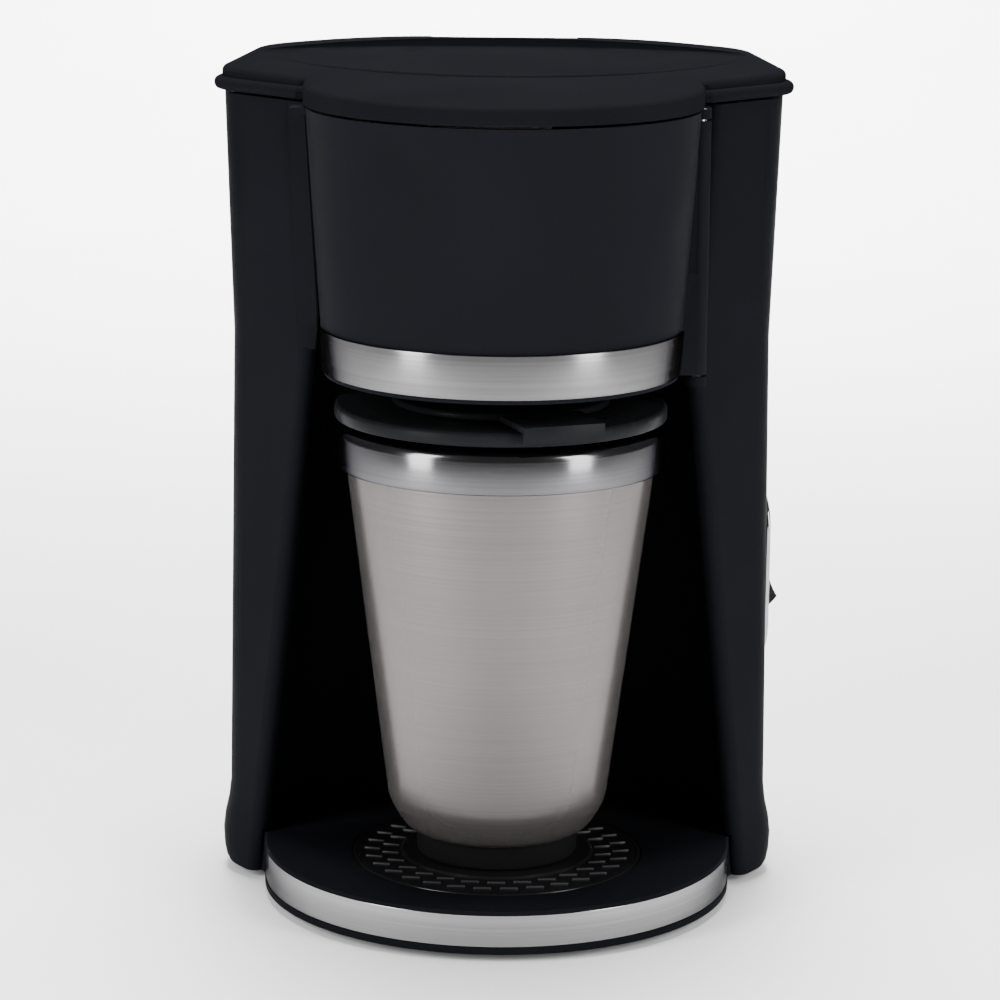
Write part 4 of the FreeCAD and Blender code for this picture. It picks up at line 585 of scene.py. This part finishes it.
# drip plate: a land for the mug, an outer ring and two rows of raised dashes
dripPlate = {"radius": 40.6, "under": 12.6, "top": 14.0, "ring": 39.6, "ringRise": 0.15, "ringFoot": 39.24,
             "land": 26.5, "landRise": 0.7, "steps": 180, "sharpAbove": 35,
             "round": {"rim": 0.3, "ring": 0.2, "ringFoot": 0.1, "landFoot": 0.5, "land": 0.6}}
dashLook = {"long": 5.0, "wide": 0.9, "tall": 0.4, "endSteps": 6, "sunk": 0.02, "fan": 1 / 6,
            "crown": ((1.0, 0.0), (1.0, 0.55), (0.78, 0.9), (0.45, 1.0))}  # width and height, as shares
dashRows = {"innerDashes": {"radius": 30.0, "count": 26, "shift": 0.0},
            "outerDashes": {"radius": 35.0, "count": 30, "shift": 0.1}}
top, soft = dripPlate["top"], dripPlate["round"]
ringTop, landTop = top + dripPlate["ringRise"], top + dripPlate["landRise"]
plate = turned("drip_plate_disc", [
    (0, dripPlate["under"], 0), (dripPlate["radius"], dripPlate["under"], 0),
    (dripPlate["radius"], ringTop, soft["rim"]), (dripPlate["ring"], ringTop, soft["ring"]),
    (dripPlate["ringFoot"], top, soft["ringFoot"]),
    (dripPlate["land"] + dripPlate["landRise"], top, soft["landFoot"]),
    (dripPlate["land"], landTop, soft["land"]),
    (0, landTop, 0)], mugAxis, dripPlate["steps"], sharpAbove=dripPlate["sharpAbove"])
dress(plate, "drip_plate", "tray")


# a bar with rounded ends and a crowned top, lying along Y about the origin
def crownedBar(name, look):
    long, half = look["long"], look["wide"] / 2
    outline = []
    for end in (1, -1):
        for step in range(look["endSteps"] + 1):
            a = math.pi * step / look["endSteps"] + (0 if end > 0 else math.pi)
            outline.append((half * math.cos(a), end * (long / 2 - half) + half * math.sin(a)))
    rings = []
    for width, height in look["crown"]:
        length = (long - look["wide"] * (1 - width)) / long
        rings.append([(x * width, y * length, look["tall"] * height) for x, y in outline])
    return solidThrough(name, rings)


# rows start at the rear; a dash at the front lies across, and the fan turns the others a little
rearAngle, frontAngle = math.pi / 2, math.pi * 1.5
dash = crownedBar("dash", dashLook)
rows = []
for name, row in dashRows.items():
    rows.append(scatter(name, finishes["dash"], {
        "Shape": dash, "Count": row["count"], "Radius": row["radius"] * mm, "Start": rearAngle + row["shift"],
        "Centre": (mugAxis[0] * mm, mugAxis[1] * mm, (top - dashLook["sunk"]) * mm),
        "Facing": dashLook["fan"], "Tilt": math.pi / 2 - dashLook["fan"] * frontAngle}))
bpy.data.objects.remove(dash)
dashes = shade(join("drip_plate_dashes", rows), dripPlate["sharpAbove"])
added(dashes, nodeBody["drip_plate"], "dash")
print("drip plate done")

# travel mug: a turned steel wall with a rolled collar on top and a rubber foot below
mugShape = {"foot": 14.75, "base": 21.55, "bevel": 30.15, "collar": 126.15, "lip": 137.65,
            "footRadius": 22.5, "baseRadius": 25.0, "bevelRadius": 30.4, "topRadius": 42.6,
            "collarRadius": 46.0, "linerRadius": 39.4, "steel": 0.8, "wall": 1.6, "fit": 0.1,
            "baseRound": 7.0, "bevelRound": 12.0, "footRound": 1.2, "steps": 200, "footSteps": 120}
collarRound = {"foot": 0.2, "edge": 0.5, "shoulder": 2.6, "mouth": 0.6, "under": 0.3}
base, bevel, collar, lip, steel = (mugShape[key] for key in ("base", "bevel", "collar", "lip", "steel"))
baseOut, bevelOut, topOut = (mugShape[key] for key in ("baseRadius", "bevelRadius", "topRadius"))
underLip = lip - mugShape["wall"]
mugWall = turned("mug_wall", [
    (0, base, 0), (baseOut, base, mugShape["baseRound"]), (bevelOut, bevel, mugShape["bevelRound"]),
    (topOut, collar, 0), (topOut, underLip, 0), (topOut - steel, underLip, 0), (topOut - steel, collar, 0),
    (bevelOut - steel, bevel, mugShape["bevelRound"] - steel),
    (baseOut - steel, base + steel, mugShape["baseRound"] - steel),
    (0, base + steel, 0)], mugAxis, mugShape["steps"])
dress(mugWall, "mug_body", "mug_steel")

collarIn, collarOut = topOut + mugShape["fit"], mugShape["collarRadius"]
mouth, seat = mugShape["linerRadius"] - steel, underLip + mugShape["fit"]
mugCollar = turned("mug_collar_ring", [
    (collarIn, collar, collarRound["foot"]), (collarOut, collar, collarRound["edge"]),
    (collarOut, lip, collarRound["shoulder"]), (mouth, lip, collarRound["mouth"]),
    (mouth, seat, collarRound["under"]), (collarIn, seat, 0)], mugAxis, mugShape["steps"])
dress(mugCollar, "mug_collar", "bright_steel")

mugFoot = turned("mug_foot_pad", [
    (0, mugShape["foot"], 0), (mugShape["footRadius"], mugShape["foot"], mugShape["footRound"]),
    (mugShape["footRadius"], base, 0), (0, base, 0)], mugAxis, mugShape["footSteps"])
dress(mugFoot, "mug_foot", "rubber")

mugPieces = {
    "mug_liner": {"name": "mug_inner_cup", "slot": "bright_steel", "sharpAbove": 40},
    "mug_lid": {"name": "mug_cap", "slot": "gloss_black", "soften": 0.35},
    "mug_lid_gasket": {"name": "mug_cap_seal", "slot": "rubber", "soften": 0.2},
    "sip_closure": {"name": "sip_slider", "slot": "gloss_black", "soften": 0.35},
    "closure_rivet": {"name": "sip_slider_rivet", "slot": "gloss_black", "soften": 0.2},
}
for node, look in mugPieces.items():
    skin(node, **look)
print("mug done")

# switch
switchPieces = {
    "switch_bezel": {"name": "switch_surround", "slot": "chrome", "soften": 0.55, "sharpAbove": 36},
    "rocker": {"name": "switch_rocker", "slot": "gloss_black", "soften": 0.5, "sharpAbove": 30},
    "rocker_pin": {"name": "switch_pin", "slot": "fastener", "soften": 0.15},
    "switch_housing": {"name": "switch_case", "slot": "gloss_black", "soften": 0.2},
}
for node, look in switchPieces.items():
    skin(node, **look)
print("switch done")

# brewing, water path, heater and fasteners
innerPieces = {
    "filter_basket": {"name": "basket_cup", "slot": "basket_plastic", "soften": 0.3, "sharpAbove": 30},
    "mesh_filter": {"name": "basket_mesh", "slot": "mesh", "sharpAbove": 40},
    "spout_arm": {"name": "spout_arm_body", "slot": "inner_plastic", "soften": 0.3},
    "riser_tube": {"name": "riser_pipe", "slot": "inner_plastic", "soften": 0.2},
    "water_tank": {"name": "tank_shell", "slot": "inner_plastic", "soften": 0.4},
    "check_valve_body": {"name": "valve_cage", "slot": "inner_plastic", "soften": 0.2},
    "check_valve_ball": {"name": "valve_ball_bead", "slot": "inner_plastic", "sharpAbove": 60},
}
for node, look in innerPieces.items():
    skin(node, **look)
alikePieces = {
    "hose": {"nodes": ("inlet_hose", "outlet_hose"), "look": {"soften": 0.2, "sharpAbove": 40}},
    "heater_metal": {"nodes": ("heater_tube", "heating_element", "thermostat", "thermal_fuse",
                               "heater_brackets"),
                     "look": {"soften": 0.15, "sharpAbove": 40}},
    "fastener": {"nodes": ("lid_hinge_pin", "head_hinge_pin", "bottom_screws"), "look": {"soften": 0.15}},
}
for slot, alike in alikePieces.items():
    for node in alike["nodes"]:
        skin(node, slot, **alike["look"])
print("inner pieces done")

# stage: a paper sweep that is flat under the part and bends up into a wall behind it
stageLook = {"size": 6.0, "bend": 1.2, "curve": 0.9, "steps": 14, "under": 0.0002,
             "dark": (0.9, 0.9, 0.9), "light": (0.94, 0.94, 0.94), "patches": 6, "rough": 0.95}
size, bend, curve = stageLook["size"], stageLook["bend"], stageLook["curve"]
profile = [(-size, 0.0), (bend, 0.0)]
for step in range(1, stageLook["steps"] + 1):
    a = math.pi / 2 * step / stageLook["steps"]
    profile.append((bend + curve * math.sin(a), curve * (1 - math.cos(a))))
profile.append((bend + curve, size))
verts = [(side * size, y, z - stageLook["under"]) for y, z in profile for side in (-1, 1)]
faces = [(2 * i, 2 * i + 1, 2 * i + 3, 2 * i + 2) for i in range(len(profile) - 1)]
mesh = bpy.data.meshes.new("sweep")
mesh.from_pydata(verts, [], faces)
mesh.shade_smooth()
sweep = link("sweep", mesh)
paper, tree, shader = startMaterial("stagePaper")
mottle = noise(tree, objectCoordinates(tree), stageLook["patches"], detail=2)
tree.links.new(ramp(tree, mottle, stageLook["dark"], stageLook["light"]), shader.inputs["Base Color"])
shader.inputs["Roughness"].default_value = stageLook["rough"]
mesh.materials.append(paper)

lights = {
    "leftBox": {"at": (-0.52, -0.4, 0.3), "to": (0, -0.03, 0.14), "wide": 0.19, "tall": 0.58,
                "watts": 6, "spread": 180},
    "rightBox": {"at": (0.52, -0.4, 0.3), "to": (0, -0.03, 0.14), "wide": 0.19, "tall": 0.58,
                 "watts": 5.4, "spread": 180},
    "topBox": {"at": (0.0, 0.4, 1.6), "to": (0, 0.3, 0.0), "wide": 0.5, "tall": 1.1,
               "watts": 30, "spread": 110},
    "backGlow": {"at": (0.0, 0.7, 1.9), "to": (0, 2.0, 0.4), "wide": 0.8, "tall": 0.8,
                 "watts": 105, "spread": 100},
}
for name, look in lights.items():
    lamp = bpy.data.lights.new(name, "AREA")
    lamp.shape = "RECTANGLE"
    lamp.size = look["wide"]
    lamp.size_y = look["tall"]
    lamp.energy = look["watts"]
    lamp.spread = math.radians(look["spread"])
    holder = link(name, lamp)
    holder.location = look["at"]
    holder.rotation_euler = (Vector(look["to"]) - Vector(look["at"])).to_track_quat("-Z", "Y").to_euler()

worldLook = {"colour": (0.75, 0.76, 0.78, 1), "strength": 0.2}
world = bpy.data.worlds.new("studio")
world.use_nodes = True
background = world.node_tree.nodes["Background"]
background.inputs["Color"].default_value = worldLook["colour"]
background.inputs["Strength"].default_value = worldLook["strength"]
bpy.context.scene.world = world

cameraLook = {"lens": 133.2, "sensor": 36, "at": (0.0, -1.0262, 0.335), "down": 12.4, "roll": 0.57}
lens = bpy.data.cameras.new("photoCamera")
lens.lens = cameraLook["lens"]
lens.sensor_width = cameraLook["sensor"]
camera = link("photoCamera", lens)
camera.location = cameraLook["at"]
aim = Euler((math.radians(90 - cameraLook["down"]), 0, 0)).to_matrix()
camera.rotation_euler = (aim @ Matrix.Rotation(math.radians(cameraLook["roll"]), 3, "Z")).to_euler()
bpy.context.scene.camera = camera
print("stage done")
